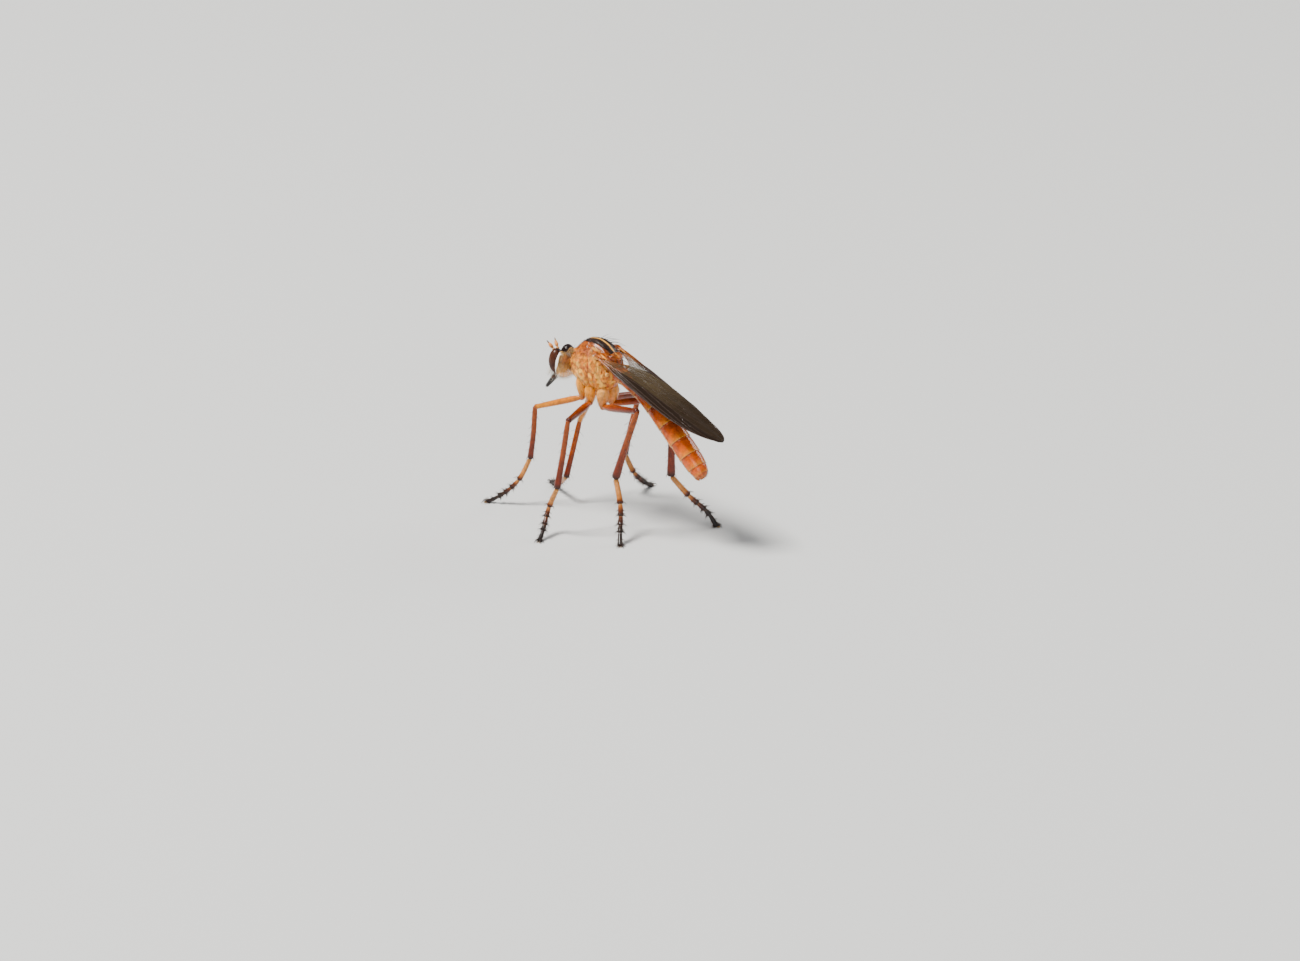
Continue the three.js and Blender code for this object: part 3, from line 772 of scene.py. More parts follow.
def head_paint(u, v, point):
    """Tan behind, gold crown, white rim behind the eyes, white lower face, brown patches by the neck."""
    x, y, z = point[..., 0], np.abs(point[..., 1]), point[..., 2]
    tint = blend(TAN, (0.20, 0.115, 0.030), 0.65 * spot_noise(point, 0.8, 21))
    tint = blend(tint, RUST, 0.55 * hill(x, -4.75, 0.3) * hill(z, 21.1, 0.6))
    cheek = ease(-5.5, -5.1, x) * (1 - ease(19.1, 19.7, z))
    tint = blend(tint, (0.82, 0.40, 0.10), 0.9 * cheek)
    crown = ease(20.9, 21.4, z) * (1 - ease(0.7, 1.1, y))
    tint = blend(tint, (0.11, 0.055, 0.016), 0.85 * crown)
    face = (1 - ease(-6.8, -6.4, x)) * (1 - ease(20.3, 21.0, z))
    tint = blend(tint, WHITE, face)
    near = eye_distance(point)
    outer = 1.08 + 0.13 * hill(z, 20.6, 1.1)
    rim = (1 - ease(outer, outer + 0.04, near)) * ease(-6.1, -5.8, x) * ease(1.15, 1.5, y)
    behind = hill(near, outer + 0.11, 0.06) * ease(-5.6, -5.4, x) * hill(z, 21.0, 1.0)
    tint = blend(tint, (0.05, 0.026, 0.010), 0.8 * behind)
    tint = blend(tint, WHITE, rim)
    return {"tint": tint, "dust": np.clip(0.12 + face + rim - 0.3 * behind, 0, 1.2)}


piece("head_capsule", [shell(head_surface, np.linspace(0, 1, 181), 200, head_paint)],
      head_finish, "cuticle_tan", "head")

# %% [markdown]
# ## Compound eyes
# Each eye is thousands of six-sided lenses packed on a tall ellipsoid. Rings of points around the
# outermost point, six more in each ring than in the last, make an even net of triangles. In such a net
# every third point is the middle of a lens and the others are its corners, so lifting the middles turns
# the net into a honeycomb of little domes. The single eyes in the crown's hollow are plain beads.

# %% Eyes
LENS_RINGS = 78
LENS_LIFT = 0.009                         # mm that a lens's middle stands over its corners
EYE_SPAN = np.radians(128)                # how far from the outermost point the honeycomb runs


def eye_net(side):
    """The honeycomb of one eye: points on an ellipsoid, lens middles raised, closed behind by a fan."""
    numbers = np.arange(1, LENS_RINGS + 1)
    ring = np.concatenate([[0], np.repeat(numbers, 6 * numbers)])
    first = 1 + 3 * ring * (ring - 1)
    first[0] = 0
    place = np.arange(len(ring)) - first
    sixth, along = np.divmod(place, np.maximum(ring, 1))
    # Lattice steps (a, b) of each point: out along one of six ways, then sideways along the ring.
    steps = np.array([(1, 0), (0, 1), (-1, 1), (-1, 0), (0, -1), (1, -1)])
    lattice = steps[sixth % 6] * ring[:, None] + steps[(sixth + 2) % 6] * along[:, None]
    middle = (lattice[:, 0] - lattice[:, 1]) % 3 == 0
    angle = 2 * np.pi * place / np.maximum(6 * ring, 1)
    tilt = EYE_SPAN * ring / LENS_RINGS
    ball = [np.sin(tilt) * np.cos(angle), side * np.cos(tilt), -side * np.sin(tilt) * np.sin(angle)]
    points = on_side(EYE_MIDDLE, side) + np.stack(ball, -1) * (EYE_RADII + LENS_LIFT * middle[:, None])
    # Each point of ring k joins two points of ring k + 1, and each step round a ring one point outside.
    inner = np.flatnonzero(ring < LENS_RINGS)
    k, m, s = ring[inner], place[inner], sixth[inner]
    outer_first = 1 + 3 * (k + 1) * k
    outer = outer_first + (m + s) % np.maximum(6 * (k + 1), 1)
    outer_next = outer_first + (m + s + 1) % (6 * (k + 1))
    beside = np.where(k > 0, first[inner] + (m + 1) % np.maximum(6 * k, 1), inner)
    fans = np.concatenate([
        np.stack([inner, outer, outer_next], -1),
        np.stack([inner, outer_next, beside], -1)[k > 0],
    ])
    corner_ring = np.flatnonzero((along == 0) & (ring > 0) & (ring < LENS_RINGS))
    k, s = ring[corner_ring], sixth[corner_ring]
    outer_first = 1 + 3 * (k + 1) * k
    before = outer_first + (s * (k + 1) - 1) % (6 * (k + 1))
    at = outer_first + s * (k + 1)
    fans = np.concatenate([fans, np.stack([corner_ring, before, at], -1)])
    turns = np.arange(6)
    middle_fan = np.stack([0 * turns, 1 + turns, 1 + (turns + 1) % 6], -1)
    rim = np.flatnonzero(ring == LENS_RINGS)
    closing = np.stack([rim, np.full(len(rim), len(points)), np.roll(rim, -1)], -1)
    return {
        "points": np.concatenate([points, points[rim].mean(0, keepdims=True)]),
        "quads": np.zeros((0, 4), int),
        "fans": np.concatenate([fans[fans[:, 0] > 0], middle_fan, closing]),
        "paint": {"rim": np.append(tilt / EYE_SPAN, 1.0), "facet": np.append(middle.astype(float), 0)},
    }


def bead(middle, radii, rows=14, columns=16, paint=None):
    """A small ellipsoid with its poles above and below."""
    def surface(u, v):
        lift, ring = np.pi * u, 2 * np.pi * v
        ball = [np.sin(lift) * np.cos(ring), np.sin(lift) * np.sin(ring), -np.cos(lift)]
        return middle + np.stack(ball, -1) * radii
    return shell(surface, np.linspace(0.02, 0.98, rows), columns, paint)


def eye_material():
    """Dark lenses with a red-brown bloom in the middle of the eye, partly the eye's own colour and partly a
    painted reflection, and a black band round its edge.
    """
    material, add, finish = new_material("compound eye")
    mottled = remap(add, noise(add, millimetres(add), 1.1), 0.35, 0.65)
    # The lighter red-brown middle of each eye is partly a painted reflection of the sky.
    bloom_and_painted_reflection = mix_colour(add, mottled, (0.080, 0.024, 0.010, 1), (0.044, 0.012, 0.005, 1))
    band = remap(add, painted(add, "rim"), 0.54, 0.70)
    seams = remap(add, painted(add, "facet"), 0.0, 0.6, 0.45, 0.0)
    colour = mix_colour(add, band, bloom_and_painted_reflection, (0.012, 0.006, 0.006, 1))
    colour = mix_colour(add, seams, colour, (0.01, 0.005, 0.006, 1))
    finish(Base_Color=colour, Roughness=0.3, Specular_IOR_Level=0.13, Coat_Weight=0.08, Coat_Roughness=0.06)
    return material


eye_finish = eye_material()
for word, side in SIDES.items():
    piece(f"eye_{word}_lenses", [eye_net(side)], eye_finish, "eye", f"eye_{word}")

OCELLI = [(-6.12, 0.0, 21.42), (-5.78, -0.15, 21.5), (-5.78, 0.15, 21.5)]
amber = horn("amber bead", (0.14, 0.03, 0.008, 1), (0.3, 0.08, 0.02, 1), 0.12, 0.9)
piece("crown_beads", [bead(place, (0.1, 0.1, 0.1)) for place in OCELLI], amber, "eye")

# %% [markdown]
# ## The collar
# Between neck and notum sits a collar of three low lobes. They are beads like the single eyes, only
# larger and flatter, half sunk into the front of the thorax.

# %% Collar lobes
COLLAR_LOBES = [   # middle and radii in mm
    ((-3.38, 0, 22.05), (0.34, 0.85, 0.42)), ((-3.3, -0.95, 21.25), (0.34, 0.42, 0.72)),
    ((-3.3, 0.95, 21.25), (0.34, 0.42, 0.72)), ((-3.3, -0.85, 19.85), (0.32, 0.5, 0.6)),
    ((-3.3, 0.85, 19.85), (0.32, 0.5, 0.6)),
]


def lobe_paint(u, v, point):
    """Gold with rusty patches."""
    return {"tint": blend(GOLD, RUST, 0.7 * spot_noise(point, 0.6, 19)), "dust": 0.25 + 0 * u}


piece("collar_lobes", [bead(middle, radii, 36, 40, lobe_paint) for middle, radii in COLLAR_LOBES],
      thorax_finish, "cuticle_tan")

# %% [markdown]
# ## Feelers, palps and beak
# Everything slender on this fly is one profile carried along a path: at each share of the way there is a
# middle point, a radius and a pair of directions across. The frame across is kept steady by one fixed
# direction that the path never points along. The feelers have three joints and a short style, the palps
# two, and the beak is a flattened horn with a keel on top and a long groove on each side.

# %% A profile along a path


def along_path(points, share):
    """A smooth curve through a few points, by share of its length, with its direction there."""
    points = np.asarray(points, float)
    reach = np.concatenate([[0], np.cumsum(np.linalg.norm(np.diff(points, axis=0), axis=1))])
    table = np.column_stack([reach / reach[-1], points])
    share = np.asarray(share, float)
    ahead = unit(through(table, share + 0.004, True) - through(table, share - 0.004, True))
    return through(table, share, True), ahead


def rod(points, radii, steady=(0, 1, 0), flat=1.0, relief=None):
    """The surface of a rod: middle + radius (cos angle * aside + sin angle * over * flat)."""
    def surface(u, v):
        middle, ahead = along_path(points, u)
        aside = unit(np.cross(np.broadcast_to(steady, ahead.shape), ahead))
        over = np.cross(ahead, aside)
        angle = 2 * np.pi * v
        radius = through(radii, u)[..., 0]
        if relief:
            radius = radius + relief(u, angle)
        cosine, sine = np.cos(angle)[..., None], np.sin(angle)[..., None]
        return middle + radius[..., None] * (cosine * aside + sine * over * flat)
    return surface


def ends(rows):
    """Shares from 0 to 1 that crowd towards both ends, so that rod ends come out round."""
    return 0.5 - 0.5 * np.cos(np.pi * np.linspace(0, 1, rows))


def plain_paint(tint, dust):
    """The same tint and dust all over."""
    return lambda u, v, point: {"tint": np.broadcast_to(tint, point.shape), "dust": dust + 0 * u}


# %% Feelers
FEELER = [(-6.88, 0.2, 21.12), (-7.45, 0.4, 21.78), (-8.3, 0.78, 22.88)]   # on the right side, mm
FEELER_RADII = [   # share, mm: two round joints, a long leaf-shaped joint, then the style
    (0, 0.02), (0.02, 0.14), (0.12, 0.155), (0.20, 0.18), (0.235, 0.09), (0.26, 0.13), (0.34, 0.19),
    (0.395, 0.195), (0.42, 0.09), (0.45, 0.13), (0.58, 0.225), (0.72, 0.19), (0.80, 0.10), (0.82, 0.065),
    (0.86, 0.09), (0.93, 0.065), (0.985, 0.03), (1, 0.005),
]


def feeler_paint(u, v, point):
    """Orange joints that darken towards the brown style."""
    tint = blend((0.50, 0.20, 0.05), (0.62, 0.20, 0.035), ease(0.4, 0.6, u))
    tint = blend(tint, BROWN, ease(0.76, 0.86, u))
    rings = hill(u, 0.235, 0.012) + hill(u, 0.42, 0.012)
    return {"tint": blend(tint, RUST, 0.7 * rings), "dust": 0.25 + 0 * u}


feelers = {}
for word, side in SIDES.items():
    feelers[word] = rod(on_side(FEELER, side), FEELER_RADII, steady=(0.3, 1, 0), flat=1.15)
    piece(f"feeler_{word}", [shell(feelers[word], np.linspace(0, 1, 110), 20, feeler_paint)],
          leg_finish, "cuticle_orange", f"antenna_{word}")

# %% Beak and palps
BEAK = [(-6.55, 0, 18.95), (-7.5, 0, 17.95), (-8.35, 0, 16.95), (-9.08, 0, 16.1)]
BEAK_RADII = [(0, 0.05), (0.03, 0.4), (0.12, 0.52), (0.3, 0.45), (0.55, 0.37), (0.78, 0.31), (0.9, 0.26),
              (0.95, 0.22), (0.985, 0.13), (1, 0.02)]
PALP = [(-6.75, 0.38, 18.7), (-7.1, 0.55, 18.25), (-7.65, 0.56, 17.7)]
PALP_RADII = [(0, 0.03), (0.05, 0.11), (0.35, 0.13), (0.42, 0.09), (0.5, 0.13), (0.75, 0.17), (0.93, 0.12),
              (1, 0.02)]


def beak_relief(u, angle):
    """A groove on each side between lip and sheath, a keel above and below, and rings near the tip."""
    groove = hill(np.cos(angle), 0.92, 0.10) * (np.abs(np.sin(angle)) < 0.75)
    groove = groove + hill(np.cos(angle), -0.92, 0.10) * (np.abs(np.sin(angle)) < 0.75)
    keel = hill(np.sin(angle), -1, 0.05) + hill(np.sin(angle), 1, 0.05)
    body = ease(0.05, 0.2, u) * (1 - ease(0.86, 0.97, u))
    rasp = 0.012 * np.sin(u * 90) * ease(0.9, 0.94, u) * (1 - ease(0.98, 1, u))
    return body * (0.05 * keel - 0.03 * groove) + rasp


def beak_paint(u, v, point):
    """Brown at its root, then black with a brown tip."""
    tint = blend((0.17, 0.065, 0.022), BLACK, ease(0.08, 0.3, u))
    return {"tint": blend(tint, BROWN, 0.8 * ease(0.93, 1, u)), "dust": 0 * u}


beak_finish = cuticle("black beak", (0.3, 0.25, 0.2, 1), 3.0, (0.34, 0.5), 0.25, 0.5, 0.0)
beak_surface = rod(BEAK, BEAK_RADII, relief=beak_relief)
beak_shells = [shell(beak_surface, ends(110), 56, beak_paint)]
palps = {}
for word, side in SIDES.items():
    palps[word] = rod(on_side(PALP, side), PALP_RADII)
    beak_shells.append(shell(palps[word], ends(40), 18, plain_paint((0.06, 0.026, 0.012), 0.1)))
piece("beak_and_palps", beak_shells, beak_finish, "cuticle_black", "proboscis")

# %% [markdown]
# ## The abdomen
# The abdomen is a row of hoops that slide into each other like a telescope. Each hoop is a wide plate
# over the back and a narrow one below, joined by a pale fold along each side. One tube does it all: it
# follows a curved line, its radius steps in a little behind every hoop, and a groove runs along each
# side. The rows of the grid crowd together where a hoop ends, so that the step is crisp.

# %% Abdomen form
ABDOMEN_LINE = [(2.75, 0, 20.95), (5.4, 0, 20.0), (8.3, 0, 18.5), (11.4, 0, 16.05), (14.45, 0, 13.25),
                (17.98, 0, 9.62)]
ABDOMEN_RADII = [(0, 0.95), (0.03, 1.0), (0.1, 1.02), (0.3, 1.15), (0.5, 1.32), (0.7, 1.42), (0.84, 1.38),
                 (0.925, 1.18), (0.965, 0.92), (0.99, 0.55), (1, 0.05)]
HOOPS = np.array([0, 0.10, 0.255, 0.41, 0.56, 0.70, 0.82, 0.915, 0.972, 1])   # where the hoops meet
WIDE, FLAT = 1.06, 0.95                   # the section's width and height, as shares of the radius
FOLD = 0.655                              # share down the side where the pale fold runs
STEP = 0.075                              # mm that a hoop's rear edge stands over the next one


def along_hoop(u):
    """How far along its own hoop a share lies, from 0 to 1."""
    which = np.clip(np.searchsorted(HOOPS, u, side="right") - 1, 0, len(HOOPS) - 2)
    return np.clip((u - HOOPS[which]) / (HOOPS[which + 1] - HOOPS[which]), 0, 1)


def abdomen_relief(u, down):
    """Height in mm: hoops flare to their rear edge, plates bulge, and the side folds sink."""
    along = along_hoop(u)
    fade = 1 - ease(0.955, 0.985, u)
    height = STEP * (0.75 * along**1.5 + 0.25 * ease(0, 0.06, along)) * fade
    height = height - 0.05 * hill(along, 0.09, 0.05) * fade * (down < FOLD)
    fold = hill(down, FOLD, 0.022)
    lip = hill(down, FOLD - 0.05, 0.022) * ease(0.1, 0.3, along)
    under = hill(down, 1.0, 0.2)
    waves = 0.02 * np.sin(60 * along) * hill(down, FOLD, 0.03)
    sunk = 0.15 * fold * (1 - 0.5 * hill(along, 0, 0.1))
    return height + (0.035 * lip - sunk + 0.03 * under + waves) * fade


def abdomen_surface(u, v):
    """The tube round the abdomen's line, wider than high, with the relief added to its radius."""
    middle, ahead = along_path(ABDOMEN_LINE, u)
    over = np.cross(ahead, np.broadcast_to((0, 1, 0), ahead.shape))
    over = over * np.sign(over[..., 2:3])
    angle = 2 * np.pi * (v - 0.25)
    radius = through(ABDOMEN_RADII, u)[..., 0] + abdomen_relief(u, down_share(v))
    aside = np.cross(over, ahead)
    across = (np.cos(angle) * WIDE * radius)[..., None] * aside
    return middle + across + (np.sin(angle) * FLAT * radius)[..., None] * over


# %% Abdomen colours


def abdomen_paint(u, v, point):
    """Orange hoops, dark red in front (their own colour, deepened towards the base as painted shade under the
    wings), pale behind, a painted wing shadow on each side, cream folds.
    """
    along = along_hoop(u)
    down = down_share(v)
    tint = blend(ORANGE, (0.74, 0.19, 0.008), ease(0.5, 1, along))
    # Dark red on the front of each hoop's back: partly the hoops' own colour, partly painted shade under the
    # wings, strongest near the base.
    front = (1 - ease(0.10, 0.5, along + 0.2 * np.abs(down - 0.3))) * (1 - ease(0.8, 0.95, u))
    tint = blend(tint, DARK_RED, (0.7 - 0.5 * ease(0.35, 0.75, u)) * front * (1 - ease(0.45, 0.62, down)))
    # A dark red patch on each side under the wing's edge: a painted shadow of the wing.
    painted_wing_shadow = hill(down, 0.46, 0.1) * hill(along, 0.28, 0.22) * (1 - ease(0.75, 0.9, u)) * ease(0.08, 0.15, u)
    tint = blend(tint, DARK_RED, 0.45 * painted_wing_shadow)
    back = ease(0.9, 0.975, along) * (1 - ease(0.9, 0.96, u))
    tint = blend(tint, (0.76, 0.30, 0.035), 0.7 * back)
    tint = blend(tint, RUST, 0.5 * spot_noise(point, 1.6, 33) * (1 - ease(0.5, 0.75, u)))
    tint = blend(tint, (0.045, 0.016, 0.008), 0.7 * hill(along, 0.0, 0.02) * ease(0.02, 0.1, u))
    belly = ease(FOLD + 0.02, FOLD + 0.06, down)
    tint = blend(tint, (0.64, 0.22, 0.03), 0.7 * belly)
    fold = hill(down, FOLD, 0.03)
    tint = blend(tint, (0.80, 0.50, 0.16), 0.85 * fold)
    tint = blend(tint, (0.55, 0.13, 0.015), ease(0.975, 0.99, u))
    return {"tint": tint, "dust": 0.45 * fold + 0.1 * belly + 0.12 * back}


inside = np.concatenate([
    [0, 0.012, 0.03, 0.05, 0.08], np.linspace(0.11, 0.9, 16), [0.93, 0.955, 0.975, 0.99],
])
abdomen_rows = (HOOPS[:-1, None] + inside * np.diff(HOOPS)[:, None]).ravel()
abdomen_rows = np.append(abdomen_rows, 0.9995)
piece("abdomen_shell", [shell(abdomen_surface, abdomen_rows, 144, abdomen_paint)],
      abdomen_finish, "cuticle_orange", *[f"abdomen_{n}" for n in range(1, 8)], "abdomen_tip")

# %% Claspers at the tail
CLASPERS = {   # name: path in mm on the right side, widest radius
    "upper": ([(16.9, 0.35, 10.9), (17.6, 0.42, 10.2), (17.95, 0.3, 9.75)], 0.32),
    "lower": ([(16.5, 0.25, 9.95), (17.05, 0.3, 9.4), (17.4, 0.2, 9.15)], 0.26),
}


def clasper_radii(widest):
    """A pointed oval, thickest a third of the way along."""
    return [(0, 0.3 * widest), (0.3, widest), (0.7, 0.75 * widest), (0.95, 0.25 * widest), (1, 0.02)]


clasper_paint = plain_paint((0.50, 0.12, 0.012), 0.1)
tail_shells = [
    shell(rod(on_side(path, side), clasper_radii(widest)), ends(24), 18, clasper_paint)
    for path, widest in CLASPERS.values() for side in SIDES.values()
]
piece("tail_claspers", tail_shells, abdomen_finish, "cuticle_rust")

# %% [markdown]
# ## The wings
# A wing is a clear skin stretched over a net of hollow veins, and the fly folds both flat over its back,
# the left on top. The skin is a very thin closed lens, `w` across from the rear edge to the front, with
# the slight pleats that stiffen a real wing. Each vein is a thin rod laid along its own line in the
# wing's plane, thick at the root and hair-thin at the edge. Smoke, the brown shade of the skin, is
# strongest along the front edge and clears towards the root.

# %% Wing form
WING_ROOT = np.array([1.3, 0.0, 23.3])
WING_PITCH = np.radians(22.7)
WING_LENGTH = 21.3
WING_DROOP = 0.42                         # mm that the front edge hangs lower
WING_OUTLINE = [   # share of the length, front edge and rear edge as mm out from the midline
    (0, 2.22, 1.92), (0.025, 2.38, 1.75), (0.06, 2.6, 1.55), (0.13, 2.8, 1.25), (0.22, 2.95, -0.5),
    (0.33, 3.02, -1.6), (0.48, 3.0, -2.05), (0.64, 2.87, -2.1), (0.78, 2.55, -1.85), (0.88, 2.05, -1.4),
    (0.95, 1.4, -0.9), (0.985, 0.75, -0.45), (1, 0.16, 0.06),
]
ROOT_LEVEL = 0.06                         # mm over the root plane where a wing is hinged
WING_LEVELS = {"left": 0.40, "right": 0.10}   # and further out, where the left lies over the right
SKIN = 0.014                              # half the skin's thickness, mm
wing_ahead = np.array([np.cos(WING_PITCH), 0, -np.sin(WING_PITCH)])
wing_up = np.array([np.sin(WING_PITCH), 0, np.cos(WING_PITCH)])


def wing_place(share, out, word, lift=0.0):
    """A point of the wing from its share along and its distance out, with droop, pleats and a wave."""
    front, rear = np.moveaxis(through(WING_OUTLINE, share), -1, 0)
    across = (out - rear) / np.maximum(front - rear, 0.05)
    fade = ease(0.1, 0.3, share) * (1 - 0.7 * ease(0.85, 1, share))
    pleats = 0.035 * np.sin(5.5 * np.pi * across + 0.6) + 0.012 * np.sin(23 * across + 40 * share)
    wave = 0.07 * np.sin(5.2 * share + 0.8) - 0.05 * np.sin(9 * share + 2 * across)
    hang = WING_DROOP * np.maximum(0, out / 3) ** 2 * np.minimum(1, 5 * share)
    level = ROOT_LEVEL + (WING_LEVELS[word] - ROOT_LEVEL) * ease(0, 0.16, share)
    height = level + lift - hang + fade * (pleats + wave)
    sideways = SIDES[word] * np.asarray(out)[..., None] * np.array([0, 1.0, 0])
    reach = np.asarray(share)[..., None] * WING_LENGTH * wing_ahead
    return WING_ROOT + reach + sideways + height[..., None] * wing_up


def wing_skin(word):
    """A thin lens: across the wing by (1 + cos) / 2, and through its thickness by sin."""
    def surface(u, v):
        front, rear = np.moveaxis(through(WING_OUTLINE, u), -1, 0)
        out = rear + (front - rear) * (0.5 + 0.5 * np.cos(2 * np.pi * v))
        return wing_place(u, out, word, SIDES[word] * SKIN * np.sin(2 * np.pi * v))
    return surface


def smoke_paint(u, v, point):
    """Share of brown shade: a dark front band, darker tip, clearer cells near the root."""
    across = 0.5 + 0.5 * np.cos(2 * np.pi * v)
    band = ease(0.70, 0.86, across + 0.05 * np.sin(3 * u))
    band = band * (1 - 0.4 * ease(0.8, 0.97, u)) * ease(0.0, 0.12, u)
    clear = hill(u, 0.17, 0.08) * (1 - ease(0.5, 0.75, across))
    smoke = 0.56 + 0.24 * ease(0.3, 0.75, u) + 0.45 * band - 0.14 * clear
    return {"smoke": np.clip(smoke, 0.08, 1)}


def wing_material():
    """Smoky see-through skin: the shade sets the opacity and darkens the colour."""
    material, add, finish = new_material("wing skin")
    smoke = painted(add, "smoke")
    where = millimetres(add)
    depth = times(add, smoke, remap(add, noise(add, where, 0.9), 0.3, 0.7, 0.82, 1.15))
    shade = remap(add, smoke, 0.42, 0.9)
    finish(
        Base_Color=mix_colour(add, shade, (0.075, 0.052, 0.026, 1), (0.012, 0.006, 0.003, 1)),
        Alpha=remap(add, depth, 0.1, 0.9, 0.14, 0.97),
        Roughness=0.38,
        Specular_IOR_Level=0.14,
        Normal=bumpy(add, noise(add, where, 4.5, 2.0, 0.5), 0.25, 0.00004),
    )
    return material


wing_finish = wing_material()

# %% Veins
VEINS = {   # name: points (share along, mm out), radius in mm at the root end and at the far end
    "subcosta": ([(0, 2.17), (0.03, 2.28), (0.15, 2.5), (0.35, 2.76), (0.5, 2.88), (0.58, 2.93)],
                 0.06, 0.035),
    "radius_1": ([(0, 2.12), (0.03, 2.15), (0.15, 2.28), (0.35, 2.5), (0.6, 2.52), (0.78, 2.38),
                  (0.87, 2.12)], 0.085, 0.05),
    "radius_stem": ([(0.19, 2.32), (0.28, 2.1), (0.38, 1.86)], 0.06, 0.05),
    "radius_2": ([(0.38, 1.86), (0.5, 1.92), (0.7, 2.02), (0.84, 2.06), (0.895, 1.95)], 0.05, 0.035),
    "radius_stem_2": ([(0.38, 1.86), (0.5, 1.48), (0.6, 1.26), (0.68, 1.2)], 0.05, 0.04),
    "radius_4": ([(0.68, 1.2), (0.705, 1.5), (0.8, 1.66), (0.95, 1.38)], 0.04, 0.028),
    "radius_5": ([(0.68, 1.2), (0.8, 0.95), (0.92, 0.45), (0.99, -0.2)], 0.04, 0.028),
    "media_stem": ([(0, 2.05), (0.04, 1.98), (0.12, 1.86), (0.28, 1.3), (0.42, 0.85)], 0.065, 0.045),
    "media_1": ([(0.42, 0.85), (0.52, 0.76), (0.64, 0.56), (0.76, 0.18), (0.87, -0.25), (0.955, -0.85)],
                0.042, 0.026),
    "cell_rear": ([(0.42, 0.85), (0.46, 0.45), (0.56, 0.08), (0.67, -0.12), (0.715, 0.33)], 0.042, 0.03),
    "media_2": ([(0.69, 0.02), (0.8, -0.55), (0.9, -1.27)], 0.036, 0.024),
    "media_3": ([(0.63, -0.07), (0.72, -0.85), (0.82, -1.7)], 0.036, 0.024),
    "cross_front": ([(0.53, 1.4), (0.535, 1.1), (0.54, 0.74)], 0.03, 0.03),
    "cubitus": ([(0, 1.98), (0.04, 1.84), (0.1, 1.7), (0.2, 1.15), (0.33, 0.32), (0.43, -0.15), (0.5, 0.0),
                 (0.5, 0.26)], 0.055, 0.034),
    "media_4": ([(0.46, -0.1), (0.55, -0.85), (0.64, -1.6), (0.71, -2.0)], 0.038, 0.024),
    "cubitus_2": ([(0.33, 0.32), (0.43, -0.75), (0.52, -1.6), (0.575, -2.08)], 0.04, 0.024),
    "anal": ([(0.08, 1.62), (0.2, 0.75), (0.34, -0.45), (0.46, -1.4), (0.55, -2.02)], 0.045, 0.024),
    "anal_2": ([(0.11, 1.4), (0.2, 0.35), (0.28, -0.6), (0.35, -1.2)], 0.035, 0.02),
    "cross_root": ([(0.12, 2.44), (0.122, 2.6), (0.124, 2.76)], 0.04, 0.04),
}


def vein_paint(u, v, point):
    """Orange-brown near the wing's root, nearly black beyond."""
    share = (point[..., 0] - WING_ROOT[0]) / (WING_LENGTH * wing_ahead[0])
    tint = blend((0.36, 0.095, 0.010), (0.030, 0.014, 0.008), ease(0.03, 0.24, share))
    return {"tint": tint, "dust": 0 * u}


def vein_shell(points, thick, thin, word):
    """A rod along a smooth line of the wing, tapering from thick to thin."""
    points = np.asarray(points, float)
    line = along_path(points * (WING_LENGTH, 1), np.linspace(0, 1, 34))[0] / (WING_LENGTH, 1)
    track = wing_place(line[:, 0], line[:, 1], word)
    radii = [(0, 0.5 * thick), (0.02, thick), (0.98, thin), (1, 0.5 * thin)]
    return shell(rod(track, radii, steady=wing_up, flat=0.6), ends(30), 7, vein_paint)


def edge_line(word, which, shares, thick, thin):
    """The stout front vein, or the thin one that closes the rear edge."""
    edge = through(WING_OUTLINE, shares)[..., which]
    track = wing_place(shares, edge, word)
    radii = [(0, 0.6 * thick), (0.02, thick), (0.7, (thick + thin) / 2), (1, thin)]
    return shell(rod(track, radii, steady=wing_up), np.linspace(0, 1, 150), 8, vein_paint)


vein_finish = cuticle("wing veins", (0.3, 0.2, 0.1, 1), 4.0, (0.3, 0.5), 0.3, 0.3, 0.0)
wing_rows = np.append(np.linspace(0, 0.9, 130), 1 - 0.1 * np.linspace(0.98, 0, 40) ** 2)
for word in SIDES:
    piece(f"wing_{word}_skin", [shell(wing_skin(word), wing_rows, 72, smoke_paint)],
          wing_finish, "wing", f"wing_{word}")
    net = [vein_shell(points, thick, thin, word) for points, thick, thin in VEINS.values()]
    net.append(edge_line(word, 0, np.linspace(0, 0.999, 160), 0.115, 0.035))
    net.append(edge_line(word, 1, np.linspace(0.24, 0.999, 160), 0.018, 0.022))
    piece(f"wing_{word}_veins", net, vein_finish, "cuticle_black")

# %% [markdown]
# ## Wing roots and balancers
# At its root each wing turns on a few hard knobs under a small scale. Behind the wings stand the
# halteres, two drumsticks that swing in flight and keep the fly level.

# %% Wing roots and halteres
ROOT_KNOBS = [   # path in mm on the right side, radii at the start, middle and end, tint
    ([(0.7, 1.85, 23.5), (1.2, 2.15, 23.5), (1.95, 2.35, 23.3)], (0.12, 0.24, 0.14), (0.34, 0.075, 0.006)),
    ([(1.1, 1.8, 23.3), (1.9, 2.1, 23.25), (2.9, 2.2, 22.95)], (0.16, 0.22, 0.1), (0.40, 0.095, 0.008)),
    ([(1.6, 1.5, 23.3), (2.3, 1.8, 23.2), (3.1, 1.9, 22.9)], (0.1, 0.2, 0.08), (0.62, 0.24, 0.04)),
    ([(0.9, 1.85, 22.9), (1.4, 2.02, 22.8), (2.1, 2.05, 22.75)], (0.08, 0.2, 0.08), (0.70, 0.34, 0.07)),
]
HALTERE = [(2.05, 1.35, 21.45), (2.5, 1.7, 21.4), (3.0, 1.98, 21.1), (3.42, 2.15, 20.88)]
HALTERE_RADII = [(0, 0.05), (0.03, 0.16), (0.15, 0.12), (0.3, 0.075), (0.6, 0.085), (0.72, 0.18),
                 (0.85, 0.29), (0.94, 0.24), (1, 0.02)]


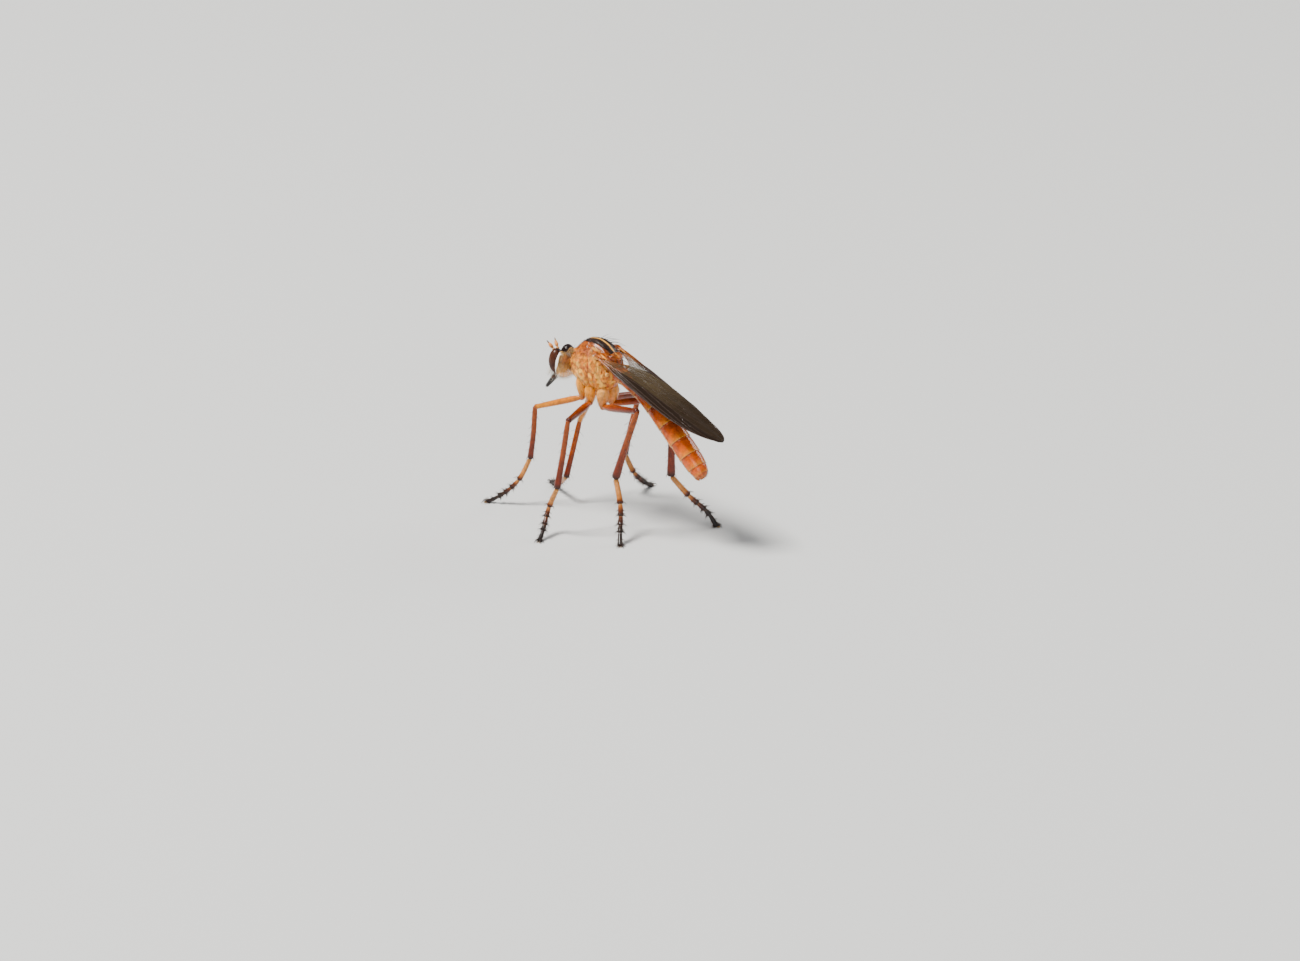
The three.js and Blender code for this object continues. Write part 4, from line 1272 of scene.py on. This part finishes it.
def knob_shell(path, radii, tint, side):
    """A pointed oval along a short path."""
    table = [(0, 0.02), (0.12, radii[0]), (0.5, radii[1]), (0.9, radii[2]), (1, 0.02)]
    form = rod(on_side(path, side), table, steady=(0, 0.2, 1), flat=0.6)
    return shell(form, ends(22), 18, plain_paint(tint, 0.15))


haltere_paint = plain_paint((0.68, 0.30, 0.045), 0.15)
for word, side in SIDES.items():
    piece(f"wing_{word}_root", [knob_shell(*knob, side) for knob in ROOT_KNOBS],
          thorax_finish, "cuticle_orange")
    drumstick = rod(on_side(HALTERE, side), HALTERE_RADII, steady=(0, 0.2, 1))
    piece(f"haltere_{word}_drumstick", [shell(drumstick, ends(60), 22, haltere_paint)],
          head_finish, "cuticle_tan", f"haltere_{word}")

# %% [markdown]
# ## The legs
# Each leg has a stout coxa that hangs from the thorax, a small ring called the trochanter, a thick femur,
# a slender tibia, five foot joints and a pair of claws over two soft pads. A bearing, which is turned out
# from straight ahead, and a rise over the floor give each long joint's direction, so the whole pose is a
# table of angles. The joints overlap like a real leg's, in one object, each with its own colours.

# %% Where the joints lie
PAIRS = {   # where the coxa starts and ends on the right, its radii, lengths in mm, the girths of
            # femur, tibia and foot, and the tibia's swell
    "front": {"hip": (-2.4, 1.0, 19.4), "root": (-1.9, 0.95, 16.5), "coxa": (0.82, 0.5),
              "femur": 7.35, "tibia": 7.75, "heel": 3.4, "girths": (1, 1, 0.95), "swell": 0.0},
    "mid": {"hip": (-0.5, 1.05, 18.9), "root": (-0.6, 0.97, 16.05), "coxa": (0.92, 0.58),
            "femur": 7.2, "tibia": 9.4, "heel": 3.15, "girths": (1.12, 1.02, 1.05), "swell": 0.1},
    "hind": {"hip": (1.75, 1.05, 18.9), "root": (1.4, 0.92, 15.85), "coxa": (1.02, 0.62),
             "femur": 9.25, "tibia": 11.0, "heel": 3.5, "girths": (1.15, 1.08, 1.15), "swell": 0.3},
}
POSES = {   # bearing and rise in degrees of femur, tibia and heel; the foot's bearing, reach and sag
    ("front", "left"): ((16, -19), (-22, -79), (50, -62), (34, 5.8, 0.2)),
    ("mid", "left"): ((107, -2), (46, -81), (3, -65), (87, 3.4, 0.2)),
    ("hind", "left"): ((161, 13), (-6, -68), (151, -61), (137, 5.0, 0.2)),
    ("front", "right"): ((29, -48), (-78, -73), (35, -29), (35, 8.1, 0.2)),
    ("mid", "right"): ((96, -8), (1, -74), (106, -64), (91, 5.3, 0.2)),
    ("hind", "right"): ((164, 14), (-38, -88), (143, -49), (141, 6.0, 0.4)),
}
TOE_HEIGHT = 0.1                          # mm from the floor to the middle of the last joint's end
FOOT_JOINTS = (0, 0.38, 0.55, 0.68, 0.79, 1)   # shares of the foot where its joints meet


def heading(bearing, rise, side):
    """Unit direction from a bearing off straight ahead and a rise over the floor, in degrees."""
    b, r = np.radians(bearing), np.radians(rise)
    return np.array([-np.cos(b) * np.cos(r), side * np.sin(b) * np.cos(r), np.sin(r)])


def leg_places(pair, word):
    """The leg's joint points, and the foot's line from ankle to toe."""
    side, sizes = SIDES[word], PAIRS[pair]
    femur, tibia, heel, (bearing, reach, sag) = POSES[pair, word]
    hip, root = (on_side(sizes[key], side) for key in ("hip", "root"))
    knee = root + sizes["femur"] * heading(*femur, side)
    ankle = knee + sizes["tibia"] * heading(*tibia, side)
    heel = ankle + sizes["heel"] * heading(*heel, side)
    foot = ankle + reach * heading(bearing, 0, side)
    foot[2] = TOE_HEIGHT
    low = heel + 0.72 * (foot - heel)
    low[2] = foot[2] + sag * (heel[2] - foot[2])
    return {"hip": hip, "root": root, "knee": knee, "ankle": ankle, "foot_line": [ankle, heel, low, foot]}


print("knee of the left front leg, mm:", leg_places("front", "left")["knee"].round(2))

# %% Joint shapes
FEMUR_RADII = [(0, 0.1), (0.02, 0.27), (0.06, 0.33), (0.25, 0.42), (0.7, 0.37), (0.9, 0.33), (0.955, 0.35),
               (0.985, 0.27), (1, 0.03)]
TIBIA_RADII = [(0, 0.04), (0.012, 0.24), (0.035, 0.31), (0.06, 0.31), (0.12, 0.345), (0.5, 0.355),
               (0.8, 0.37), (0.95, 0.40), (0.985, 0.35), (1, 0.05)]
TROCHANTER_RADII = [(0, 0.05), (0.12, 0.3), (0.35, 0.39), (0.6, 0.37), (0.8, 0.30), (1, 0.1)]
FOOT_RADII = [   # base, before the end, widest at the end, for each of the five foot joints
    (0.29, 0.34, 0.38), (0.22, 0.32, 0.37), (0.20, 0.31, 0.36), (0.20, 0.30, 0.35), (0.19, 0.29, 0.32),
]
COXA_SHARES = [   # share along, share of the coxa's own radius there
    (0, 0.05), (0.06, 0.4), (0.2, 0.78), (0.38, 1.0), (0.6, 1.02), (0.85, 0.8), (0.95, 0.6), (1, 0.1),
]

# %% Joint colours: share along, then red, green and blue
GOLD_FEMUR = [(0, 0.50, 0.140, 0.003), (0.5, 0.58, 0.165, 0.003), (0.9, 0.58, 0.19, 0.006),
              (0.96, 0.30, 0.06, 0.003), (1, 0.18, 0.03, 0.003)]
RED_FEMUR = [(0, 0.40, 0.075, 0.001), (0.4, 0.19, 0.024, 0.001), (0.85, 0.11, 0.011, 0.001),
             (0.95, 0.08, 0.008, 0.002), (1, 0.045, 0.006, 0.003)]
TROCHANTER_TINTS = [(0, 0.3, 0.07, 0.006), (0.5, 0.50, 0.12, 0.008), (1, 0.14, 0.04, 0.01)]
TIBIA_TINTS = [(0, 0.10, 0.014, 0.002), (0.04, 0.27, 0.048, 0.001), (0.4, 0.26, 0.044, 0.001),
               (0.72, 0.16, 0.018, 0.001), (0.9, 0.14, 0.013, 0.001), (0.955, 0.05, 0.007, 0.002),
               (1, 0.025, 0.008, 0.005)]
FOOT_TINTS = [
    [(0, 0.52, 0.22, 0.06), (0.72, 0.46, 0.16, 0.03), (0.88, 0.11, 0.024, 0.006), (1, 0.025, 0.008, 0.005)],
    [(0, 0.54, 0.26, 0.09), (0.3, 0.32, 0.10, 0.020), (0.62, 0.10, 0.025, 0.009), (1, 0.02, 0.009, 0.007)],
    [(0, 0.38, 0.15, 0.045), (0.35, 0.10, 0.026, 0.012), (1, 0.02, 0.010, 0.009)],
    [(0, 0.16, 0.07, 0.04), (0.4, 0.03, 0.018, 0.014), (1, 0.015, 0.011, 0.010)],
    [(0, 0.05, 0.026, 0.02), (0.3, 0.016, 0.012, 0.012), (1, 0.013, 0.010, 0.010)],
]
COXA_TINTS = {
    "front": [(0, 0.66, 0.24, 0.02), (0.5, 0.72, 0.27, 0.014), (0.85, 0.56, 0.16, 0.01),
              (1, 0.2, 0.04, 0.005)],
    "mid": [(0, 0.7, 0.24, 0.012), (0.4, 0.78, 0.27, 0.008), (0.85, 0.56, 0.15, 0.006),
            (1, 0.2, 0.04, 0.005)],
    "hind": [(0, 0.74, 0.33, 0.07), (0.4, 0.74, 0.3, 0.06), (0.8, 0.58, 0.17, 0.03), (1, 0.2, 0.04, 0.005)],
}

# %% Joints of a leg


def on_floor(surface):
    """The same surface, held up to the floor where it would sink under it."""
    def held(u, v):
        point = surface(u, v)
        return np.concatenate([point[..., :2], np.maximum(point[..., 2:], 0.004)], -1)
    return held


def tints(stops, dust=0.0):
    """Paint from colour stops along a joint."""
    return lambda u, v, point: {"tint": through(stops, u), "dust": dust + 0 * u}


def steady_of(line):
    """A fixed direction that a short line never points along: level, and square to the line."""
    way = line[-1] - line[0]
    return unit(np.array([-way[1], way[0], 0.0]))


def leg_joints(pair, word):
    """Every joint of a leg as (name, surface, rows, columns, paint)."""
    at = leg_places(pair, word)
    hip, root, knee, ankle = (at[key] for key in ("hip", "root", "knee", "ankle"))
    root_way, knee_way, ankle_way = unit(root - hip), unit(knee - root), unit(ankle - knee)
    bow = 0.12 * unit(np.cross(np.cross(knee_way, ankle_way), ankle_way))
    thick, thin = PAIRS[pair]["coxa"]
    coxa_radii = [(t, r * (thick + (thin - thick) * t) * (1.0 if 0 < t < 1 else 0.3)) for t, r in COXA_SHARES]
    (femur_girth, tibia_girth, foot_girth), swell = PAIRS[pair]["girths"], PAIRS[pair]["swell"]
    femur_radii = [(t, radius * femur_girth) for t, radius in FEMUR_RADII]
    tibia_radii = [(t, radius * tibia_girth * (1 + swell * t)) for t, radius in TIBIA_RADII]
    steady = (1, 0.05, 0.1)

    def coxa_relief(u, angle):
        return 0.05 * hill(u, 0.5, 0.3) * (np.cos(2 * angle + 0.6) - hill(np.cos(angle - 0.4), 1, 0.03))

    coxa = rod([hip, root + 0.15 * root_way], coxa_radii, steady, relief=coxa_relief)
    trochanter = rod([root - 0.28 * root_way, root + 0.1 * knee_way, root + 0.62 * knee_way],
                     TROCHANTER_RADII, steady)
    femur = rod([root + 0.3 * knee_way, knee + 0.12 * knee_way], femur_radii,
                np.cross(knee_way, (0, 0, 1)), 1.06)
    tibia = rod([knee - 0.12 * ankle_way, (knee + ankle) / 2 + bow, ankle + 0.1 * ankle_way], tibia_radii,
                np.cross(knee_way, ankle_way))
    joints = [
        ("coxa", coxa, 54, 48, tints(COXA_TINTS[pair], 0.07)),
        ("trochanter", trochanter, 24, 28, tints(TROCHANTER_TINTS, 0.1)),
        ("femur", femur, 90, 30, tints(GOLD_FEMUR if pair == "front" else RED_FEMUR, 0.06)),
        ("tibia", tibia, 110, 26, tints(TIBIA_TINTS, 0.05)),
    ]
    foot_points = along_path(at["foot_line"], np.linspace(0, 1, 41))[0]
    for number, (start, end) in enumerate(zip(FOOT_JOINTS[:-1], FOOT_JOINTS[1:])):
        base, waist, knob = FOOT_RADII[number]
        shares = np.linspace(max(start - 0.012, 0), min(end + 0.004, 1), 9)
        line = along_path(foot_points, shares)[0]
        radii = np.array([(0, 0.03), (0.06, base), (0.2, 0.5 * (base + waist)), (0.75, waist), (0.93, knob),
                          (0.985, 0.7 * knob), (1, 0.04)]) * (1, foot_girth)
        joints.append((f"foot_{number + 1}", on_floor(rod(line, radii, steady_of(line))),
                       36, 22, tints(FOOT_TINTS[number], 0.05)))
    return joints


# %% Claws and pads
CLAW_LENGTH, CLAW_THICK = 0.78, 0.085     # mm
CLAW_RADII = [(0, 0.3 * CLAW_THICK), (0.08, CLAW_THICK), (0.5, 0.75 * CLAW_THICK), (0.85, 0.4 * CLAW_THICK),
              (1, 0.006)]
CLAW_TINTS = [(0, 0.05, 0.018, 0.01), (0.5, 0.02, 0.012, 0.01), (1, 0.012, 0.009, 0.008)]
PAD_RADII = [(0, 0.02), (0.2, 0.07), (0.6, 0.10), (0.9, 0.08), (1, 0.01)]
PAD_TINT = (0.28, 0.17, 0.09)


def claw_shells(pair, word):
    """Two hooked claws that spread from the toe and touch the floor, and two soft pads under them."""
    line = np.array(leg_places(pair, word)["foot_line"])
    toe = line[-1]
    ahead = unit((line[-1] - line[-2]) * (1, 1, 0))
    aside = np.cross(ahead, (0, 0, 1))
    shells = []
    for turned in (-1, 1):
        base = toe + 0.09 * turned * aside + (0, 0, 0.10)
        way = CLAW_LENGTH * unit(ahead + 0.5 * turned * aside)
        hook = [base - 0.1 * ahead, base + 0.35 * way + (0, 0, 0.13),
                base + 0.75 * way + (0, 0, 0.06), base + way + (0, 0, -0.17)]
        claw = on_floor(rod(hook, CLAW_RADII, steady_of(hook)))
        line = [toe + 0.1 * turned * aside - 0.05 * ahead + (0, 0, -0.02),
                toe + 0.14 * turned * aside + 0.2 * ahead + (0, 0, -0.035),
                toe + 0.17 * turned * aside + 0.42 * ahead + (0, 0, -0.05)]
        pad = on_floor(rod(line, PAD_RADII, steady_of(line), 0.5))
        shells += [shell(claw, ends(22), 10, tints(CLAW_TINTS)),
                   shell(pad, ends(16), 12, plain_paint(PAD_TINT, 0.3))]
    return shells


# %% Six legs
legs = {}
for pair in PAIRS:
    for word in SIDES:
        legs[pair, word] = leg_joints(pair, word)
        solids = [f"{part}_{pair}_{word}" for part in ("coxa", "femur", "tibia", "tarsus")]
        shells = [shell(surface, ends(rows), columns, paint)
                  for _, surface, rows, columns, paint in legs[pair, word]]
        piece(f"leg_{pair}_{word}", shells + claw_shells(pair, word), leg_finish, "cuticle_orange", *solids)

# %% [markdown]
# ## The coat
# A robber fly is armed with bristles of several kinds: a white beard of long hairs on the face that
# shields it from struggling prey, stiff black bristles on the thorax, rows of spines on the legs, and a
# down of tiny hairs everywhere. Roots are sown evenly with the golden ratio and nudged a little, or set
# in rows where the real fly has rows. A hair starts out from the skin and along it, then bends.

# %% Sowing and combing
FLOOR_GAP = 0.008                         # mm that hairs stay over the floor
DOWN = {"sides": 3, "rings": 2}           # the finest hairs
HAIR = {"sides": 4, "rings": 4}
BRISTLE = {"sides": 6, "rings": 6, "taper": 0.65}
WHOLE = (0, 0, 1, 1)                      # column and row of a map's cell, out of so many


def sown(count, seed, u=(0.0, 1.0), v=(0.0, 1.0)):
    """Shares spread evenly by the golden ratio over part of a surface, each nudged a little."""
    draw = np.random.default_rng(seed)
    step = np.arange(count)
    nudge = draw.uniform(-0.5, 0.5, (2, count)) / np.sqrt(count)
    share_u = np.clip((step + 0.5) / count + nudge[0], 0, 1)
    share_v = (step * 0.618034 + nudge[1]) % 1
    return u[0] + (u[1] - u[0]) * share_u, v[0] + (v[1] - v[0]) * share_v


def crossed(u, v):
    """Shares at every crossing of some u and some v."""
    return tuple(part.ravel() for part in np.meshgrid(u, v))


def on_both(stations, places):
    """Shares u, v on the left and right of a ringed form for a list of (x, share down the side)."""
    x, side = crossed([place[0] for place in places], [-1, 1])
    down, _ = crossed([place[1] for place in places], [-1, 1])
    part = (x - stations[0][0]) / (stations[-1][0] - stations[0][0])
    return np.arccos(1 - 2 * np.clip(part, 0, 1)) / np.pi, 0.5 - side * down / 2


def combed(surface, roots, seed, length, width, rise, sweep, curl, spread, kind, way=None, where=WHOLE):
    """Hairs on a surface: they start rise * out + sweep * along, and bend down and on by curl."""
    draw = np.random.default_rng(seed)
    u, v = roots
    root, out, along = rooted(surface, u, v)
    if way is not None:
        along = unit(np.asarray(way) - (out * way).sum(-1, keepdims=True) * out + 1e-6)
    start = unit(rise * out + sweep * along + spread * draw.normal(size=root.shape))
    bend = curl * (0.45 * along - 0.6 * out) + 0.3 * spread * draw.normal(size=root.shape)
    size = length * draw.uniform(0.8, 1.15, len(root))
    thickness = width * draw.uniform(0.85, 1.15, len(root))
    hairs = hair_shell(root - 0.015 * out, start, bend, size, thickness, cell((u, v), *where), **kind)
    hairs["points"][:, 2] = np.maximum(hairs["points"][:, 2], FLOOR_GAP)
    return hairs


def combed_rows(*rows):
    """Hairs from rows of: surface, roots, seed, length and width in mm, rise, sweep, curl, spread,
    kind, and a fixed way to lie where that isn't along the surface."""
    return [combed(*row) for row in rows]


# %% Bristles of the thorax
BACK_BRISTLES = [(0.7, 0.085), (1.35, 0.085), (1.95, 0.085), (2.5, 0.08), (-1.45, 0.235), (-0.95, 0.24),
                 (0.35, 0.215), (0.85, 0.205), (1.75, 0.175), (2.15, 0.165), (2.5, 0.16)]
COLLAR = [(-3.28, share) for share in np.linspace(0.02, 0.5, 13)]
FAN = [(1.6 + 0.12 * (n % 2), share) for n, share in enumerate(np.linspace(0.345, 0.46, 12))]
FLANK_LENGTHS, FLANK_LEFT, FLANK_RIGHT, FLANK_WAY = (0.12, 0.86), (0.64, 0.94), (0.06, 0.36), (0.5, 0, -0.8)
scutellum_edge = (np.array([0.22, 0.36, 0.64, 0.78]), np.full(4, 0.27))
notum_roots = sown(1500, 41, (0.16, 0.9), (0.375, 0.625))
flank_right, flank_left = sown(900, 42, FLANK_LENGTHS, FLANK_RIGHT), sown(900, 43, FLANK_LENGTHS, FLANK_LEFT)
scutellum_roots = sown(120, 47, (0.15, 0.85), (-0.1, 0.3))
coat("coat_thorax_dark", combed_rows(
    (thorax_surface, notum_roots, 44, 0.26, 0.009, 0.5, 0.8, 0.2, 0.12, DOWN),
    (thorax_surface, on_both(THORAX, BACK_BRISTLES), 45, 1.75, 0.034, 0.75, 0.75, 0.45, 0.05, BRISTLE),
    (scutellum_surface, scutellum_edge, 46, 1.9, 0.034, 0.5, 0.0, 0.25, 0.05, BRISTLE, (1, 0, 0.1)),
    (scutellum_surface, scutellum_roots, 48, 0.3, 0.009, 0.6, 0.3, 0.1, 0.1, DOWN, (1, 0, 0)),
), dark_bristle, "cuticle_black")
coat("coat_thorax_pale", combed_rows(
    (thorax_surface, flank_right, 49, 0.30, 0.008, 0.55, 0.7, 0.25, 0.2, DOWN, FLANK_WAY),
    (thorax_surface, flank_left, 50, 0.30, 0.008, 0.55, 0.7, 0.25, 0.2, DOWN, FLANK_WAY),
    (thorax_surface, on_both(THORAX, COLLAR), 52, 0.5, 0.014, 0.7, -0.4, 0.3, 0.12, HAIR),
    (thorax_surface, on_both(THORAX, FAN), 53, 0.95, 0.018, 1.0, 0.35, 0.15, 0.1, HAIR),
), pale_hair, "cuticle_tan")

# %% Bristles of the head
CROWN_ROW = [(-5.86, 0.03), (-5.96, 0.05), (-5.7, 0.04), (-5.25, 0.05), (-5.22, 0.11), (-5.3, 0.16)]
EYE_ROW = [(-5.18 - 0.06 * np.sin(9 * share), share) for share in np.linspace(0.10, 0.52, 26)]
beard = sown(230, 61, (0.07, 0.20), (-0.25, 0.25))
face = sown(90, 62, (0.05, 0.2), (0.22, 0.78))
cheeks = sown(240, 66, (0.55, 0.86), (-0.17, 0.17))
chin = sown(160, 68, (0.3, 0.6), (-0.14, 0.14))
nape = sown(300, 74, (0.62, 0.9), (0.2, 0.8))
crown = sown(40, 76, (0.2, 0.34), (0.42, 0.58))
beak_root, beak_tip = sown(26, 70, (0.15, 0.55), (0.55, 0.95)), sown(44, 78, (0.9, 0.985))
coat("coat_head_white", combed_rows(
    (head_surface, beard, 63, 1.9, 0.026, 0.7, 0.9, 0.12, 0.1, HAIR, (-0.45, 0, -0.9)),
    (head_surface, face, 64, 0.5, 0.010, 0.5, 0.9, 0.15, 0.15, DOWN, (-0.3, 0, -0.9)),
    (head_surface, cheeks, 67, 0.6, 0.012, 0.8, 0.5, 0.2, 0.15, HAIR, (0.2, 0, -1)),
    (head_surface, chin, 69, 0.45, 0.011, 0.8, 0.3, 0.2, 0.15, HAIR, (-0.2, 0, -1)),
    (beak_surface, beak_root, 71, 0.4, 0.010, 0.9, 0.5, 0.2, 0.15, HAIR),
), white_hair, "cuticle_tan")
head_dark = combed_rows(
    (head_surface, on_both(HEAD, CROWN_ROW), 72, 0.75, 0.022, 1.0, 0.1, 0.1, 0.12, HAIR, (0.3, 0, 0)),
    (head_surface, on_both(HEAD, EYE_ROW), 73, 0.42, 0.016, 0.9, 0.5, 0.3, 0.08, HAIR),
    (head_surface, nape, 75, 0.24, 0.009, 0.7, 0.5, 0.2, 0.15, DOWN),
    (head_surface, crown, 77, 0.3, 0.010, 0.9, 0.2, 0.1, 0.2, DOWN),
    (beak_surface, beak_tip, 79, 0.22, 0.009, 0.5, 0.8, 0.1, 0.15, DOWN),
)
for n, word in enumerate(SIDES):
    head_dark += combed_rows(
        (palps[word], sown(34, 80 + n, (0.2, 0.97)), 82 + n, 0.36, 0.011, 0.7, 0.8, 0.2, 0.15, HAIR),
        (feelers[word], sown(26, 84 + n, (0.05, 0.40)), 86 + n, 0.22, 0.009, 0.8, 0.6, 0.1, 0.12, DOWN),
        (feelers[word], sown(90, 88 + n, (0.44, 0.8)), 90 + n, 0.07, 0.005, 0.5, 0.9, 0.1, 0.12, DOWN),
    )
coat("coat_head_dark", head_dark, dark_bristle, "cuticle_black")

# %% Hairs of the abdomen
hoop_edges = crossed(HOOPS[1:8] - 0.004, np.linspace(0.2, 0.8, 25))
front_sides = crossed(HOOPS[1] * np.linspace(0.55, 0.9, 5), (0.27, 0.3, 0.7, 0.73))
back, belly = sown(5200, 91, (0.02, 0.97), (0.17, 0.83)), sown(1200, 93, (0.05, 0.97), (-0.15, 0.15))
tail = sown(190, 97, (0.962, 0.997))
brown_hair = horn("brown hair", (0.12, 0.035, 0.008, 1), (0.26, 0.085, 0.018, 1), 0.5, 0.0)
coat("coat_abdomen", combed_rows(
    (abdomen_surface, back, 92, 0.20, 0.0075, 0.28, 0.95, 0.12, 0.1, DOWN),
    (abdomen_surface, belly, 94, 0.24, 0.0075, 0.4, 0.9, 0.12, 0.14, DOWN),
    (abdomen_surface, hoop_edges, 95, 0.26, 0.011, 0.35, 0.95, 0.1, 0.08, DOWN),
    (abdomen_surface, front_sides, 96, 0.7, 0.018, 0.9, 0.5, 0.3, 0.12, HAIR),
    (abdomen_surface, tail, 98, 0.34, 0.011, 0.5, 0.85, 0.1, 0.15, HAIR),
), brown_hair, "cuticle_rust")

# %% Spines and hairs of the legs
tibia_u, tibia_v = crossed(np.linspace(0.16, 0.88, 6), (0.05, 0.3, 0.55, 0.8))
LEG_RINGS = {   # joint: roots, step of the seed, length, width, rise, sweep, curl, spread
    "tibia": [
        ((tibia_u + 0.04 * np.sin(9 * tibia_v), tibia_v), 9, 0.95, 0.026, 0.85, 0.6, 0.12, 0.08),
        ((np.full(8, 0.965), np.arange(8) / 8), 19, 0.72, 0.030, 0.6, 0.85, 0.1, 0.08),
    ],
    "foot": [
        ((np.full(12, place), np.arange(12) / 12 + 0.05 * ring), 9 + ring, length, 0.032, 0.8, 0.6, 0.1, 0.14)
        for ring, (place, length) in enumerate(((0.90, 0.68), (0.78, 0.52), (0.5, 0.45)))
    ],
}
LEG_HAIRS = {   # joint: coat, how many, step of the seed, stretch along, then length to spread, and kind
    "coxa": [("pale", 130, 0, (0.2, 0.92), 0.45, 0.010, 0.6, 0.7, 0.2, 0.2, HAIR),
             ("spines", 7, 9, (0.3, 0.85), 0.8, 0.02, 0.7, 0.7, 0.2, 0.15, HAIR)],
    "femur": [("down", 620, 0, (0.06, 0.97), 0.16, 0.007, 0.35, 0.9, 0.12, 0.1, DOWN),
              ("spines", 13, 9, (0.2, 0.93), 0.5, 0.018, 0.75, 0.7, 0.1, 0.08, HAIR)],
    "tibia": [("down", 700, 0, (0.05, 0.97), 0.15, 0.007, 0.35, 0.9, 0.12, 0.1, DOWN)],
    "foot": [("down", 150, 0, (0.08, 0.95), 0.12, 0.0065, 0.35, 0.9, 0.1, 0.1, DOWN)],
    "first": [("spines", 10, 19, (0.2, 0.8), 0.4, 0.017, 0.7, 0.75, 0.1, 0.08, HAIR)],   # of the foot
}
leg_coats = {"down": [], "pale": [], "spines": []}
for row, (pair, word) in enumerate(legs):
    for column, (joint, surface, *_) in enumerate(legs[pair, word]):
        seed, here, part = 1000 + 40 * row + column, (column, row, 9, 6), joint.split("_")[0]
        # The first foot joint is long: it has one ring of spines at its end, and a few along it.
        rings = LEG_RINGS.get(part, [])[:1 if joint == "foot_1" else None]
        for roots, step, *shape in rings:
            leg_coats["spines"].append(combed(surface, roots, seed + step, *shape, HAIR, where=here))
        for key in (part, "first") if joint == "foot_1" else (part,):
            for into, count, step, stretch, *shape in LEG_HAIRS.get(key, []):
                roots = sown(count, seed + step, stretch)
                leg_coats[into].append(combed(surface, roots, seed + step, *shape, where=here))
coat("coat_legs_down", leg_coats["down"], brown_hair, "cuticle_rust")
coat("coat_legs_pale", leg_coats["pale"], pale_hair, "cuticle_tan")
coat("coat_legs_spines", leg_coats["spines"], dark_bristle, "cuticle_black")

# %% Fringe of the wings
FRINGE = [   # which edge, stretch along it, how many, width in mm
    (0, (0.02, 0.93), 230, 0.011), (1, (0.3, 0.985), 260, 0.005),
]
FRINGE_LENGTH = 0.13                      # mm
fringe_shells = []
for row, word in enumerate(SIDES):
    for edge, stretch, count, width in FRINGE:
        share = np.linspace(*stretch, count)
        root = wing_place(share, through(WING_OUTLINE, share)[..., edge], word)
        ahead = unit(np.gradient(root, axis=0))
        outward = np.cross(wing_up, ahead) * SIDES[word] * (1 - 2 * edge)
        start = unit(ahead * 0.8 + outward * 0.8)
        places = cell((share, 0.5 + 0 * share), edge, row, 2, 2)
        fringe_shells.append(hair_shell(root, start, 0.1 * ahead, FRINGE_LENGTH, width, places, **DOWN))
coat("coat_wing_fringe", fringe_shells, dark_bristle, "cuticle_black")

# %% [markdown]
# ## Floor
# The floor is a plain pale sheet under the feet.

# %% Floor, its finish, and the count of triangles
floor_mesh = bpy.data.meshes.new("floor")
floor_mesh.from_pydata([(-6, -6, 0), (6, -6, 0), (6, 6, 0), (-6, 6, 0)], [], [(0, 1, 2, 3)])
floor = bpy.data.objects.new("floor", floor_mesh)
bpy.context.scene.collection.objects.link(floor)
floor_material, _, floor_finish = new_material("pale floor")
floor_finish(Base_Color=(0.58, 0.59, 0.59, 1), Roughness=0.85)
floor_mesh.materials.append(floor_material)

print("triangles:", sum(piece_counts.values()))
